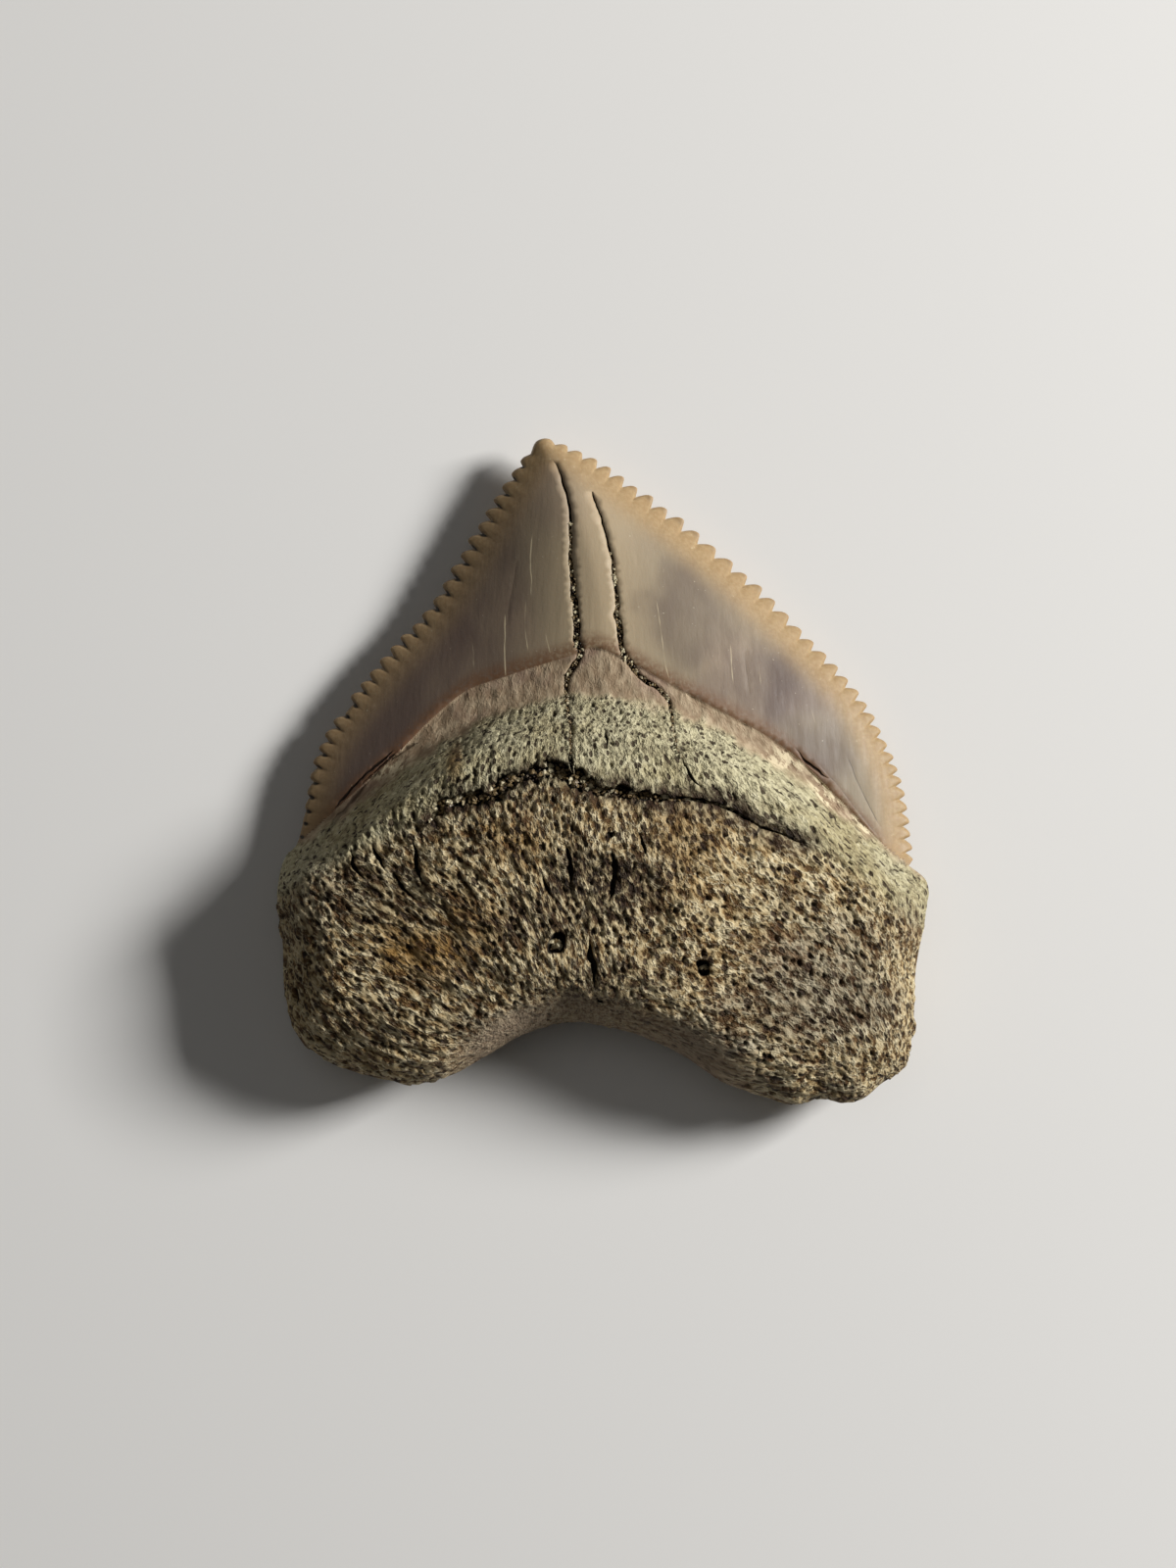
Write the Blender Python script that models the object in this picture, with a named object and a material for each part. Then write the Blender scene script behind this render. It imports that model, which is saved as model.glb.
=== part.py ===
"""Fossil crow shark tooth, one solid, lying on its flat labial face.

X runs across the tooth, +Y from the forked root to the tip, +Z out of the domed lingual face.
The origin is on the resting plane, below the middle of the tooth's outline.
Sizes are in millimetres and become metres when a mesh is written.
"""

import math
import random

import bmesh
import bpy
import numpy as np
from mathutils import Vector
from mathutils.geometry import delaunay_2d_cdt

MM = 0.001

# Outline in plan. The two cutting edges are drawn along the bottoms of their serrations.
LEFT_EDGE = [(-12.46, -3.05), (-12.1, -1.62), (-11.38, 0.77), (-9.4, 3.68), (-6.84, 6.57), (-4.79, 9.86),
             (-3.47, 12.08), (-2.95, 12.9)]
RIGHT_EDGE = [(-1.94, 13.28), (-0.76, 12.65), (0.94, 11.45), (4.44, 8.77), (7.84, 5.58), (10.66, 2.34),
              (12.1, -1.04), (12.42, -3.85)]
TIP = [(-2.68, 13.44), (-2.4, 13.54), (-2.12, 13.5)]
ROOT_EDGE = [(12.42, -3.85), (13.2, -4.55), (13.17, -5.7), (12.75, -8.1), (12.6, -10.6), (12.25, -12.15),
             (11.36, -12.77), (10.49, -13.44), (9.9, -13.55), (8.88, -13.35), (7.81, -13.55), (6.24, -13.12),
             (4.7, -12.56), (3.32, -11.67), (1.9, -10.95), (0.37, -10.39), (-1.27, -10.16), (-2.86, -10.58),
             (-4.77, -11.67), (-6.21, -12.45), (-7.8, -12.72), (-9.47, -12.48), (-11.02, -11.9),
             (-12.28, -10.89), (-12.87, -9.37), (-13.02, -7.1), (-13.22, -4.7), (-12.95, -3.6),
             (-12.46, -3.05)]
OUTLINE_STEP = 0.55

# Serrations: (distance from the tip, pitch) and (distance from the tip, height) along each edge.
LEFT_PITCH = [(0.0, 0.62), (4.0, 0.72), (9.0, 0.66), (16.5, 0.58), (20.0, 0.56)]
RIGHT_PITCH = [(0.0, 0.62), (4.0, 0.78), (11.0, 0.8), (17.0, 0.58), (24.0, 0.5)]
LEFT_HEIGHT = [(0.0, 0.22), (1.5, 0.31), (8.0, 0.31), (14.0, 0.27), (16.2, 0.17), (17.2, 0.04), (20.0, 0.02)]
RIGHT_HEIGHT = [(0.0, 0.22), (1.5, 0.33), (6.0, 0.4), (12.0, 0.36), (18.0, 0.28), (24.0, 0.26)]
WORN_SERRATION = 13.0  # the left edge has one worn away here
NO_WORN_SERRATION = -10.0
SERRATION_SEED = 7
# A serration has a long convex upper side and a short lower one: (share of the pitch, share of the height).
SERRATION_FORM = [(0.0, 0.0), (0.23, 0.5), (0.48, 0.9), (0.7, 1.0), (0.87, 0.6)]
PITCH_SPREAD = (0.9, 1.1)
HEIGHT_SPREAD = (0.85, 1.12)
WORN_SHARE = 0.15
SHOULDER_GAP = 0.15  # no serration starts this close to the root

# Heights above the resting plane along the tooth: (y, height).
RIM_HEIGHT = [(-13.6, 2.3), (-7.0, 2.3), (-4.6, 2.1), (-3.0, 1.6), (0.0, 1.4), (8.0, 1.3), (13.6, 1.5)]
CROWN_DOME = [(-13.6, 3.2), (-4.0, 3.2), (2.0, 3.0), (5.0, 2.6), (8.0, 2.0), (10.0, 1.5), (12.0, 0.8),
              (13.6, 0.25)]
ROOT_CREST = [(-13.6, 4.7), (-11.0, 5.2), (-9.0, 5.6), (-7.0, 5.95), (-5.0, 6.25), (-2.5, 6.4), (-0.5, 6.15),
              (1.5, 5.4), (3.2, 4.6)]
LABIAL_BULGE = [(-13.6, 1.75), (-3.0, 1.75), (0.0, 1.8), (3.0, 1.7), (4.5, 1.45), (8.0, 1.1), (10.0, 0.8),
                (12.0, 0.4), (13.6, 0.15)]
# Where the root's porous bone starts below the lingual neck: (x, y).
ROOT_TOP = [(-13.3, -3.7), (-10.2, -1.5), (-6.6, 1.0), (-3.7, 2.45), (0.7, 2.8), (4.3, 1.75), (7.9, -0.45),
            (11.6, -3.35), (13.3, -4.5)]
LABIAL_BORDER = [(-13.3, -3.0), (0.0, -5.3), (13.3, -3.6)]
ROOT_AXIS_X = -0.4
ROOT_FALL = 12.0  # across the tooth, the root is half as high this far from its axis
ROOT_ROUNDING = 2.6
LABIAL_ROUNDING = 1.6
ROOT_LABIAL_DEPTH = 1.5
EDGE_HALF_THICKNESS = 0.08
ROOT_WALL_HALF_HEIGHT = 0.35
CROWN_OVERHANG = 0.25  # the blade's faces meet outside the serrations' bottoms
# How the lingual dome falls away from its middle line: the higher, the flatter its top.
DOME_FALL_LEFT = 1.35
DOME_FALL_RIGHT = 1.9
LABIAL_FALL = 2.2

# The flat on the labial face that the tooth rests on.
REST_CENTRE = (-0.1, -1.2)
REST_RADII = (4.8, 3.9)
REST_SIDES = 32

# Holes and cracks that go deep enough to be part of the solid.
FORAMINA = [((-1.9, -6.95), 0.5, 1.4), ((4.0, -7.95), 0.4, 1.2)]  # centre, radius, depth
CLEFT_PATH = [(-6.9, -2.0), (-5.6, -1.1), (-4.3, -1.0), (-3.1, -0.3), (-1.8, -0.1), (-0.5, -0.7),
              (0.8, -0.85), (2.6, -1.1), (4.9, -1.45), (6.5, -2.35)]
CLEFT_WIDTH = 0.6
CLEFT_DEPTH = 0.8
CRACKS = [
    [(-1.65, 10.6), (-1.32, 8.8), (-1.15, 7.0), (-0.95, 4.9), (-1.35, 3.9), (-1.4, 2.4), (-1.32, 0.6)],
    [(0.15, 9.7), (0.45, 7.6), (0.62, 5.6), (1.1, 4.3), (2.3, 3.2), (2.75, 2.4), (3.1, 0.6)],
]
CRACK_WIDTH = 0.22
CRACK_DEPTH = 0.4
CUTTER_RISE = 0.6  # how far a cutter stands out of the surface
CUTTER_STEP = 0.7
PIT_SIDES = 12
PIT_FLOOR = 0.5  # shares of a foramen's radius
PIT_MOUTH = 1.2

# Point spacing of the solid's two faces.
LINGUAL_STEP = 0.78
LABIAL_STEP = 1.15
FIELD_HALF = 15.0
ROUNDING_ANGLES = (42.0, 66.0, 90.0)
FIRST_LINGUAL_RING = 0.45
FIRST_LABIAL_RING = 0.3
RING_KEPT = 0.85  # a ring's point that is closer to the rim than this share of its depth is dropped
RING_CLEARANCE = 0.6
SERRATION_REACH = 0.4  # a ring's direction is taken over this length each way, past single serrations

TOOTH_COLOUR = (0.42, 0.37, 0.27, 1.0)
TOOTH_ROUGHNESS = 0.65


def smooth_curve(stations, where):
    """Values at `where`, read from a smooth curve through a few (place, value) stations."""
    places, values = np.array(stations, float).T
    slopes = np.gradient(values, places)
    where = np.clip(where, places[0], places[-1])
    low = np.clip(np.searchsorted(places, where) - 1, 0, len(places) - 2)
    span = places[low + 1] - places[low]
    t = (where - places[low]) / span
    return (
        (1 + 2 * t) * (1 - t) ** 2 * values[low]
        + t * (1 - t) ** 2 * span * slopes[low]
        + t * t * (3 - 2 * t) * values[low + 1]
        + t * t * (t - 1) * span * slopes[low + 1]
    )


def smooth_step(low, high, value):
    t = np.clip((value - low) / (high - low), 0.0, 1.0)
    return t * t * (3 - 2 * t)


def spline(points, step):
    """Points about `step` apart on a smooth curve through the given ones, ends included."""
    points = np.array(points, float)
    run = np.concatenate([[0.0], np.cumsum(np.linalg.norm(np.diff(points, axis=0), axis=1))])
    fine = np.linspace(0.0, run[-1], 40 * len(points))
    curve = np.stack([smooth_curve(list(zip(run, points[:, axis])), fine) for axis in (0, 1)], axis=1)
    length = np.concatenate([[0.0], np.cumsum(np.linalg.norm(np.diff(curve, axis=0), axis=1))])
    even = np.linspace(0.0, length[-1], max(2, round(length[-1] / step) + 1))
    return np.stack([np.interp(even, length, curve[:, axis]) for axis in (0, 1)], axis=1)


def serrate(edge, pitch, height, worn, outer_side):
    """The serrated line along a cutting edge whose points run from the tip down to the shoulder.

    The serrations stand out on the right of that run where outer_side is 1, and on its left where it is -1.
    """
    draw = random.Random(SERRATION_SEED)
    length = np.concatenate([[0.0], np.cumsum(np.linalg.norm(np.diff(edge, axis=0), axis=1))])
    along = np.gradient(edge, length, axis=0)
    outward = np.stack([along[:, 1], -along[:, 0]], axis=1) * outer_side
    outward /= np.linalg.norm(outward, axis=1)[:, None]
    places = []
    heights = []
    place = 0.0
    while place < length[-1]:
        step = float(smooth_curve(pitch, place)) * draw.uniform(*PITCH_SPREAD)
        top = float(smooth_curve(height, place)) * draw.uniform(*HEIGHT_SPREAD)
        if abs(place + step / 2 - worn) < step / 2:
            top *= WORN_SHARE
        for share, rise in SERRATION_FORM:
            places.append(place + share * step)
            heights.append(top * rise)
        place += step
    places = np.array(places)
    heights = np.array(heights)
    kept = places < length[-1] - SHOULDER_GAP
    places = places[kept]
    heights = heights[kept]
    base = np.stack([np.interp(places, length, edge[:, axis]) for axis in (0, 1)], axis=1)
    side = np.stack([np.interp(places, length, outward[:, axis]) for axis in (0, 1)], axis=1)
    return base + side * heights[:, None]


def draw_outline():
    """The closed outline, clockwise from the tip, centred on the origin, and its three smooth edges."""
    left = spline(LEFT_EDGE, 0.1)[::-1]
    right = spline(RIGHT_EDGE, 0.1)
    root = spline(ROOT_EDGE, OUTLINE_STEP)
    left_line = serrate(left, LEFT_PITCH, LEFT_HEIGHT, WORN_SERRATION, 1)[::-1]
    right_line = serrate(right, RIGHT_PITCH, RIGHT_HEIGHT, NO_WORN_SERRATION, -1)
    rim = np.concatenate([right_line, root[:-1], left_line, TIP])
    centre = (rim.max(axis=0) + rim.min(axis=0)) / 2
    return rim - centre, left - centre, right - centre, root - centre


def distance_to_line(points, line):
    """Each point's distance from a polyline."""
    start = line[:-1]
    run = line[1:] - start
    best = np.full(len(points), np.inf)
    for a, ab in zip(start, run):
        t = np.clip((points - a) @ ab / max(ab @ ab, 1e-12), 0.0, 1.0)
        best = np.minimum(best, np.linalg.norm(points - a - t[:, None] * ab, axis=1))
    return best


class Form:
    """The heights of the tooth's two faces over its outline."""

    def __init__(self, left, right, root):
        self.left = left[np.argsort(left[:, 1])]
        self.right = right[np.argsort(right[:, 1])]
        self.root = root

    def across(self, points):
        """0 on the crown's middle line, -1 just outside its left cutting edge and 1 outside its right one."""
        x, y = points.T
        low = np.interp(y, self.left[:, 1], self.left[:, 0])
        high = np.interp(y, self.right[:, 1], self.right[:, 0])
        half = np.maximum((high - low) / 2, 0.1) + CROWN_OVERHANG * math.sqrt(2)
        return np.clip((x - (high + low) / 2) / half, -1.0, 1.0)

    def rounding(self, points, radius):
        """0 on the root's rim, rising as a quarter circle to 1 at `radius` inside it."""
        inside = np.clip(1 - distance_to_line(points, self.root) / radius, 0.0, 1.0)
        return np.sqrt(1 - inside**2)

    def half_wall(self, points):
        blend = smooth_step(-3.2, -5.0, points[:, 1])
        return EDGE_HALF_THICKNESS + (ROOT_WALL_HALF_HEIGHT - EDGE_HALF_THICKNESS) * blend

    def lingual(self, points):
        x, y = points.T
        rim = smooth_curve(RIM_HEIGHT, y)
        foot = rim + self.half_wall(points)
        across = self.across(points)
        dome_fall = np.where(across < 0, DOME_FALL_LEFT, DOME_FALL_RIGHT)
        crown = foot + smooth_curve(CROWN_DOME, y) * (1 - np.abs(across) ** dome_fall)
        fall = 1 / (1 + ((x - ROOT_AXIS_X) / ROOT_FALL) ** 2)
        bone = (smooth_curve(ROOT_CREST, y) - rim) * fall * self.rounding(points, ROOT_ROUNDING)
        share = smooth_step(-0.4, 1.6, smooth_curve(ROOT_TOP, x) - y)
        return crown * (1 - share) + (foot + bone) * share

    def labial(self, points):
        x, y = points.T
        rim = smooth_curve(RIM_HEIGHT, y)
        foot = rim - self.half_wall(points)
        crown = foot - smooth_curve(LABIAL_BULGE, y) * (1 - np.abs(self.across(points)) ** LABIAL_FALL)
        bone = foot - (ROOT_LABIAL_DEPTH - ROOT_WALL_HALF_HEIGHT) * self.rounding(points, LABIAL_ROUNDING)
        share = smooth_step(-0.3, 0.9, smooth_curve(LABIAL_BORDER, x) - y)
        face = crown * (1 - share) + bone * share
        offset = (points - REST_CENTRE) / REST_RADII
        outside_rest = np.linalg.norm(offset, axis=1) - 1
        return np.where(outside_rest < 0.01, 0.0, np.maximum(face, 0.04 * outside_rest))


def inner_points(rim, step, ring_depths):
    """Points inside the outline: rings along its rim, and rows of triangles of the given step."""
    closed = np.concatenate([rim, rim[:1]])
    row_step = step * math.sqrt(3) / 2
    rows = int(2 * FIELD_HALF / row_step)
    columns = int(2 * FIELD_HALF / step)
    field = np.array([(-FIELD_HALF + (column + 0.5 * (row % 2)) * step, -FIELD_HALF + row * row_step)
                      for row in range(rows) for column in range(columns)])
    field = field[is_inside(field, closed)]
    field = field[distance_to_line(field, closed) > max(ring_depths) + RING_CLEARANCE * step]
    rings = []
    for depth in ring_depths:
        ring = offset_inwards(closed, depth)
        rings.append(ring[distance_to_line(ring, closed) > depth * RING_KEPT])
    return np.concatenate([*rings, field])


def is_inside(points, closed):
    """Whether each point is inside a closed line, by counting the edges to its right."""
    x, y = points.T
    inside = np.zeros(len(points), bool)
    for (ax, ay), (bx, by) in zip(closed[:-1], closed[1:]):
        spans = (ay > y) != (by > y)
        with np.errstate(divide="ignore", invalid="ignore"):
            cut = ax + (y - ay) * (bx - ax) / (by - ay)
        inside ^= spans & (x < cut)
    return inside


def offset_inwards(closed, depth):
    """Points OUTLINE_STEP apart on a line `depth` inside a clockwise closed line."""
    length = np.concatenate([[0.0], np.cumsum(np.linalg.norm(np.diff(closed, axis=0), axis=1))])
    places = np.arange(0.0, length[-1], OUTLINE_STEP)
    reach = max(SERRATION_REACH, depth)

    def read(where):
        columns = [np.interp(where, length, closed[:, axis], period=length[-1]) for axis in (0, 1)]
        return np.stack(columns, axis=1)

    here = read(places)
    along = read(places + reach) - read(places - reach)
    inward = np.stack([along[:, 1], -along[:, 0]], axis=1)
    inward /= np.linalg.norm(inward, axis=1)[:, None]
    return here + inward * depth


def triangulate(rim, inner):
    """Flat triangles filling the outline: the points, the triangles, and where each rim point went."""
    flat = [Vector(p) for p in np.concatenate([rim, inner])]
    verts, _, faces, origin, _, _ = delaunay_2d_cdt(flat, [], [list(range(len(rim)))], 1, 1e-7)
    place = {source: index for index, sources in enumerate(origin) for source in sources}
    return np.array([tuple(v) for v in verts]), faces, [place[i] for i in range(len(rim))]


def add_material():
    material = bpy.data.materials.new("fossil tooth, enamel and bone")
    material.use_nodes = True
    shader = material.node_tree.nodes["Principled BSDF"]
    shader.inputs["Base Color"].default_value = TOOTH_COLOUR
    shader.inputs["Roughness"].default_value = TOOTH_ROUGHNESS
    shader.inputs["Metallic"].default_value = 0.0
    return material


def add_object(name, mesh_data):
    mesh = bpy.data.meshes.new(name)
    mesh_data.to_mesh(mesh)
    mesh_data.free()
    thing = bpy.data.objects.new(name, mesh)
    bpy.context.scene.collection.objects.link(thing)
    return thing


def build_tooth(rim, form):
    """The solid between the two faces, closed by a low wall along the rim."""
    shares = [1 - math.cos(math.radians(angle)) for angle in ROUNDING_ANGLES]
    lingual_rings = [FIRST_LINGUAL_RING] + [share * ROOT_ROUNDING for share in shares]
    labial_rings = [FIRST_LABIAL_RING, shares[0] * LABIAL_ROUNDING, LABIAL_ROUNDING]
    lingual_points = inner_points(rim, LINGUAL_STEP, lingual_rings)
    labial_points = inner_points(rim, LABIAL_STEP, labial_rings)

    rest_angles = [2 * math.pi * k / REST_SIDES for k in range(REST_SIDES)]
    rest_circle = np.array([(math.cos(angle), math.sin(angle)) for angle in rest_angles])
    rest_line = rest_circle * REST_RADII + REST_CENTRE
    from_rest = np.linalg.norm((labial_points - REST_CENTRE) / REST_RADII, axis=1)
    beyond_rest = labial_points[from_rest > 1 + 0.5 * LABIAL_STEP / REST_RADII[1]]

    mesh = bmesh.new()
    rims = []
    for inner, height, flipped in (
        (lingual_points, form.lingual, False),
        (np.concatenate([rest_line, beyond_rest]), form.labial, True),
    ):
        flat, faces, place = triangulate(rim, inner)
        heights = height(flat)
        verts = [mesh.verts.new((x * MM, y * MM, z * MM)) for (x, y), z in zip(flat, heights)]
        for face in faces:
            corners = [verts[index] for index in face]
            mesh.faces.new(corners[::-1] if flipped else corners)
        rims.append([verts[index] for index in place])
    for k in range(len(rim)):
        following = (k + 1) % len(rim)
        mesh.faces.new((rims[0][k], rims[0][following], rims[1][following], rims[1][k]))
    bmesh.ops.recalc_face_normals(mesh, faces=mesh.faces)
    bmesh.ops.triangulate(mesh, faces=[face for face in mesh.faces if len(face.verts) > 3])
    return add_object("tooth", mesh)


def add_cutter(name, mesh_data, target):
    bmesh.ops.recalc_face_normals(mesh_data, faces=mesh_data.faces)
    cutter = add_object(name, mesh_data)
    cutter.hide_render = True
    cutter.display_type = "WIRE"
    cut = target.modifiers.new(name, "BOOLEAN")
    cut.operation = "DIFFERENCE"
    cut.solver = "EXACT"
    cut.object = cutter


def groove(path, width, depth, form):
    """A V-shaped blade that follows the surface along a path, narrowing to both of its ends."""
    line = spline(path, CUTTER_STEP)
    along = np.gradient(line, axis=0)
    side = np.stack([-along[:, 1], along[:, 0]], axis=1)
    side /= np.linalg.norm(side, axis=1)[:, None]
    heights = form.lingual(line)
    mesh = bmesh.new()
    sections = []
    for k, ((x, y), (sx, sy), z) in enumerate(zip(line, side, heights)):
        share = math.sin(math.pi * (k + 0.6) / (len(line) + 0.2)) ** 0.5
        half = width / 2 * share * (1 + CUTTER_RISE / depth)
        low = z - depth * share
        high = z + CUTTER_RISE
        corners = [(x + sx * half, y + sy * half, high), (x - sx * half, y - sy * half, high), (x, y, low)]
        sections.append([mesh.verts.new(Vector(corner) * MM) for corner in corners])
    for first, second in zip(sections, sections[1:]):
        for a, b in ((0, 1), (1, 2), (2, 0)):
            mesh.faces.new((first[a], first[b], second[b], second[a]))
    mesh.faces.new(sections[0][::-1])
    mesh.faces.new(sections[-1])
    bmesh.ops.triangulate(mesh, faces=mesh.faces)
    return mesh


def pit(centre, radius, depth, form):
    """A blind hole that narrows downwards."""
    surface = float(form.lingual(np.array([centre]))[0])
    mesh = bmesh.new()
    height = depth + CUTTER_RISE
    bmesh.ops.create_cone(mesh, cap_ends=True, segments=PIT_SIDES, radius1=radius * PIT_FLOOR * MM,
                          radius2=radius * PIT_MOUTH * MM, depth=height * MM)
    middle = surface - depth + height / 2
    bmesh.ops.translate(mesh, verts=mesh.verts, vec=Vector((*centre, middle)) * MM)
    return mesh


def main():
    for thing in list(bpy.data.objects):
        bpy.data.objects.remove(thing)
    rim, left, right, root = draw_outline()
    form = Form(left, right, root)
    tooth = build_tooth(rim, form)
    tooth.data.materials.append(add_material())
    tooth.data.shade_smooth()
    for number, (centre, radius, depth) in enumerate(FORAMINA, 1):
        add_cutter(f"cut_foramen_{number}", pit(centre, radius, depth, form), tooth)
    add_cutter("cut_root_cleft", groove(CLEFT_PATH, CLEFT_WIDTH, CLEFT_DEPTH, form), tooth)
    for number, path in enumerate(CRACKS, 1):
        add_cutter(f"cut_crown_crack_{number}", groove(path, CRACK_WIDTH, CRACK_DEPTH, form), tooth)


main()
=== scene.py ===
import itertools
import math
import random

import bmesh
import bpy
import numpy as np
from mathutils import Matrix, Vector
from mathutils.geometry import delaunay_2d_cdt
from mathutils.kdtree import KDTree


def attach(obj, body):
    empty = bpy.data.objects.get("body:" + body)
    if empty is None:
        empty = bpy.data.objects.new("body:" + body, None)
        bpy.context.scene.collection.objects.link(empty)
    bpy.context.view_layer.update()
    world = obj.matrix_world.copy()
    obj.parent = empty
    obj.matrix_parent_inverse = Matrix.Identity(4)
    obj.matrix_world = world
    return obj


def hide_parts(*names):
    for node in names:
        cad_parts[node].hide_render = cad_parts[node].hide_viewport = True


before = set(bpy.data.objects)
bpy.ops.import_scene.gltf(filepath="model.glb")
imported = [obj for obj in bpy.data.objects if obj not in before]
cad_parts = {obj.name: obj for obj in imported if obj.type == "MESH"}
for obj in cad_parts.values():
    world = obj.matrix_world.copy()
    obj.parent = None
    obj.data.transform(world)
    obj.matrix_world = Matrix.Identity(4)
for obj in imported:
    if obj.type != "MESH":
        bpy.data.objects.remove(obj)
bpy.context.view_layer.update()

MM = 0.001

# ---------------- outline of the tooth
# The tooth seen from its lingual side. Two cutting edges carry serrations that grew as enamel
# nubs, each with a long upper side and a short steep lower one. The root below is forked.
# Sizes are in millimetres, the same as the solid's.
LEFT_EDGE = [(-12.46, -3.05), (-12.1, -1.62), (-11.38, 0.77), (-9.4, 3.68), (-6.84, 6.57), (-4.79, 9.86),
             (-3.47, 12.08), (-2.95, 12.9)]
RIGHT_EDGE = [(-1.94, 13.28), (-0.76, 12.65), (0.94, 11.45), (4.44, 8.77), (7.84, 5.58), (10.66, 2.34),
              (12.1, -1.04), (12.42, -3.85)]
TIP = [(-2.68, 13.44), (-2.4, 13.54), (-2.12, 13.5)]
ROOT_EDGE = [(12.42, -3.85), (13.2, -4.55), (13.17, -5.7), (12.75, -8.1), (12.6, -10.6), (12.25, -12.15),
             (11.36, -12.77), (10.49, -13.44), (9.9, -13.55), (8.88, -13.35), (7.81, -13.55),
             (6.24, -13.12), (4.7, -12.56), (3.32, -11.67), (1.9, -10.95), (0.37, -10.39), (-1.27, -10.16),
             (-2.86, -10.58), (-4.77, -11.67), (-6.21, -12.45), (-7.8, -12.72), (-9.47, -12.48),
             (-11.02, -11.9), (-12.28, -10.89), (-12.87, -9.37), (-13.02, -7.1), (-13.22, -4.7),
             (-12.95, -3.6), (-12.46, -3.05)]
EDGE_STEP = 0.1
TIP_STEP = 0.07
LEFT_PITCH = [(0.0, 0.62), (4.0, 0.72), (9.0, 0.66), (16.5, 0.58), (20.0, 0.56)]
RIGHT_PITCH = [(0.0, 0.62), (4.0, 0.78), (11.0, 0.8), (17.0, 0.58), (24.0, 0.5)]
LEFT_HEIGHT = [(0.0, 0.22), (1.5, 0.31), (8.0, 0.31), (14.0, 0.27), (16.2, 0.17), (17.2, 0.04),
               (20.0, 0.02)]
RIGHT_HEIGHT = [(0.0, 0.22), (1.5, 0.33), (6.0, 0.4), (12.0, 0.36), (18.0, 0.28), (24.0, 0.26)]
# How far down the left edge its one worn serration is. The right edge has none.
WORN_SERRATION = 13.0
NO_WORN_SERRATION = -10.0
SERRATION_SEED = 7
PITCH_SPREAD = (0.9, 1.1)
HEIGHT_SPREAD = (0.85, 1.12)
WORN_SHARE = 0.15
SHOULDER_GAP = 0.15
# How dark the notches are painted, as dirt and as painted shade: all of the left edge's are
# dark, the right one's faintly.
LEFT_LEAST_DIRT_AND_SHADE = 0.2
LEFT_DIRT_AND_SHADE_SPREAD = 1.3
RIGHT_DIRT_AND_SHADE = 0.35
# A serration has a long convex upper side and a short lower one. Each point is a share of its pitch
# and a share of its height.
NUB_FORM = [(0.0, 0.0), (0.1, 0.24), (0.23, 0.52), (0.36, 0.76), (0.48, 0.91), (0.6, 0.99), (0.7, 1.0),
            (0.77, 0.95), (0.83, 0.8), (0.89, 0.5), (0.95, 0.2)]


def smooth_curve(stations, where):
    """Values at `where`, read from a smooth curve through a few (place, value) stations."""
    places, values = np.array(stations, float).T
    slopes = np.gradient(values, places)
    where = np.clip(where, places[0], places[-1])
    low = np.clip(np.searchsorted(places, where) - 1, 0, len(places) - 2)
    span = places[low + 1] - places[low]
    t = (where - places[low]) / span
    return (
        (1 + 2 * t) * (1 - t) ** 2 * values[low]
        + t * (1 - t) ** 2 * span * slopes[low]
        + t * t * (3 - 2 * t) * values[low + 1]
        + t * t * (t - 1) * span * slopes[low + 1]
    )


def smooth_step(low, high, value):
    t = np.clip((value - low) / (high - low), 0.0, 1.0)
    return t * t * (3 - 2 * t)


def drift(points, size, seed):
    """Smooth random values from -1 to 1 that change over about `size` millimetres."""
    cells = np.asarray(points, float) / size
    low = np.floor(cells)
    part = cells - low
    part = part * part * (3 - 2 * part)
    mix = np.array([127.1, 311.7, 74.7])[: cells.shape[1]]  # any large unrelated numbers would do
    total = np.zeros(len(cells))
    for corner in itertools.product((0, 1), repeat=cells.shape[1]):
        weight = np.prod(np.where(corner, part, 1 - part), axis=1)
        scrambled = np.abs(np.sin((low + corner) @ mix + seed * 17.3)) * 43758.5453
        total += weight * (np.modf(scrambled)[0] * 2 - 1)
    return total


def run_of(line):
    """The length of a line up to each of its points."""
    return np.concatenate([[0.0], np.cumsum(np.linalg.norm(np.diff(line, axis=0), axis=1))])


def read_line(line, run, where, period=None):
    """The points of a line at places along its run."""
    return np.stack([np.interp(where, run, column, period=period) for column in line.T], axis=1)


def spline(points, step):
    """Points about `step` apart on a smooth curve through the given ones, ends included."""
    points = np.array(points, float)
    run = run_of(points)
    fine = np.linspace(0.0, run[-1], 40 * len(points))
    curve = np.stack([smooth_curve(list(zip(run, points[:, axis])), fine) for axis in (0, 1)], axis=1)
    length = run_of(curve)
    even = np.linspace(0.0, length[-1], max(2, round(length[-1] / step) + 1))
    return read_line(curve, length, even)


def serrate(edge, pitch, height, worn, outer_side):
    """Along an edge, tip first: base points, rim points, shares of the pitch, and notch dirt and shade."""
    draw = random.Random(SERRATION_SEED)
    dirt_and_shade_draw = random.Random(SERRATION_SEED + 1)
    length = run_of(edge)
    along = np.gradient(edge, length, axis=0)
    outward = np.stack([along[:, 1], -along[:, 0]], axis=1) * outer_side
    outward /= np.linalg.norm(outward, axis=1)[:, None]
    rows = []
    place = 0.0
    while place < length[-1]:
        step = float(smooth_curve(pitch, place)) * draw.uniform(*PITCH_SPREAD)
        top = float(smooth_curve(height, place)) * draw.uniform(*HEIGHT_SPREAD)
        if abs(place + step / 2 - worn) < step / 2:
            top *= WORN_SHARE
        dirt_and_shade = dirt_and_shade_draw.uniform(0.0, 1.0)
        rows += [(place + share * step, top * rise, share, dirt_and_shade) for share, rise in NUB_FORM]
        place += step
    rows = np.array([row for row in rows if row[0] < length[-1] - SHOULDER_GAP])
    base = read_line(edge, length, rows[:, 0])
    side = read_line(outward, length, rows[:, 0])
    return base, base + side * rows[:, 1:2], rows[:, 2], rows[:, 3]


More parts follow.
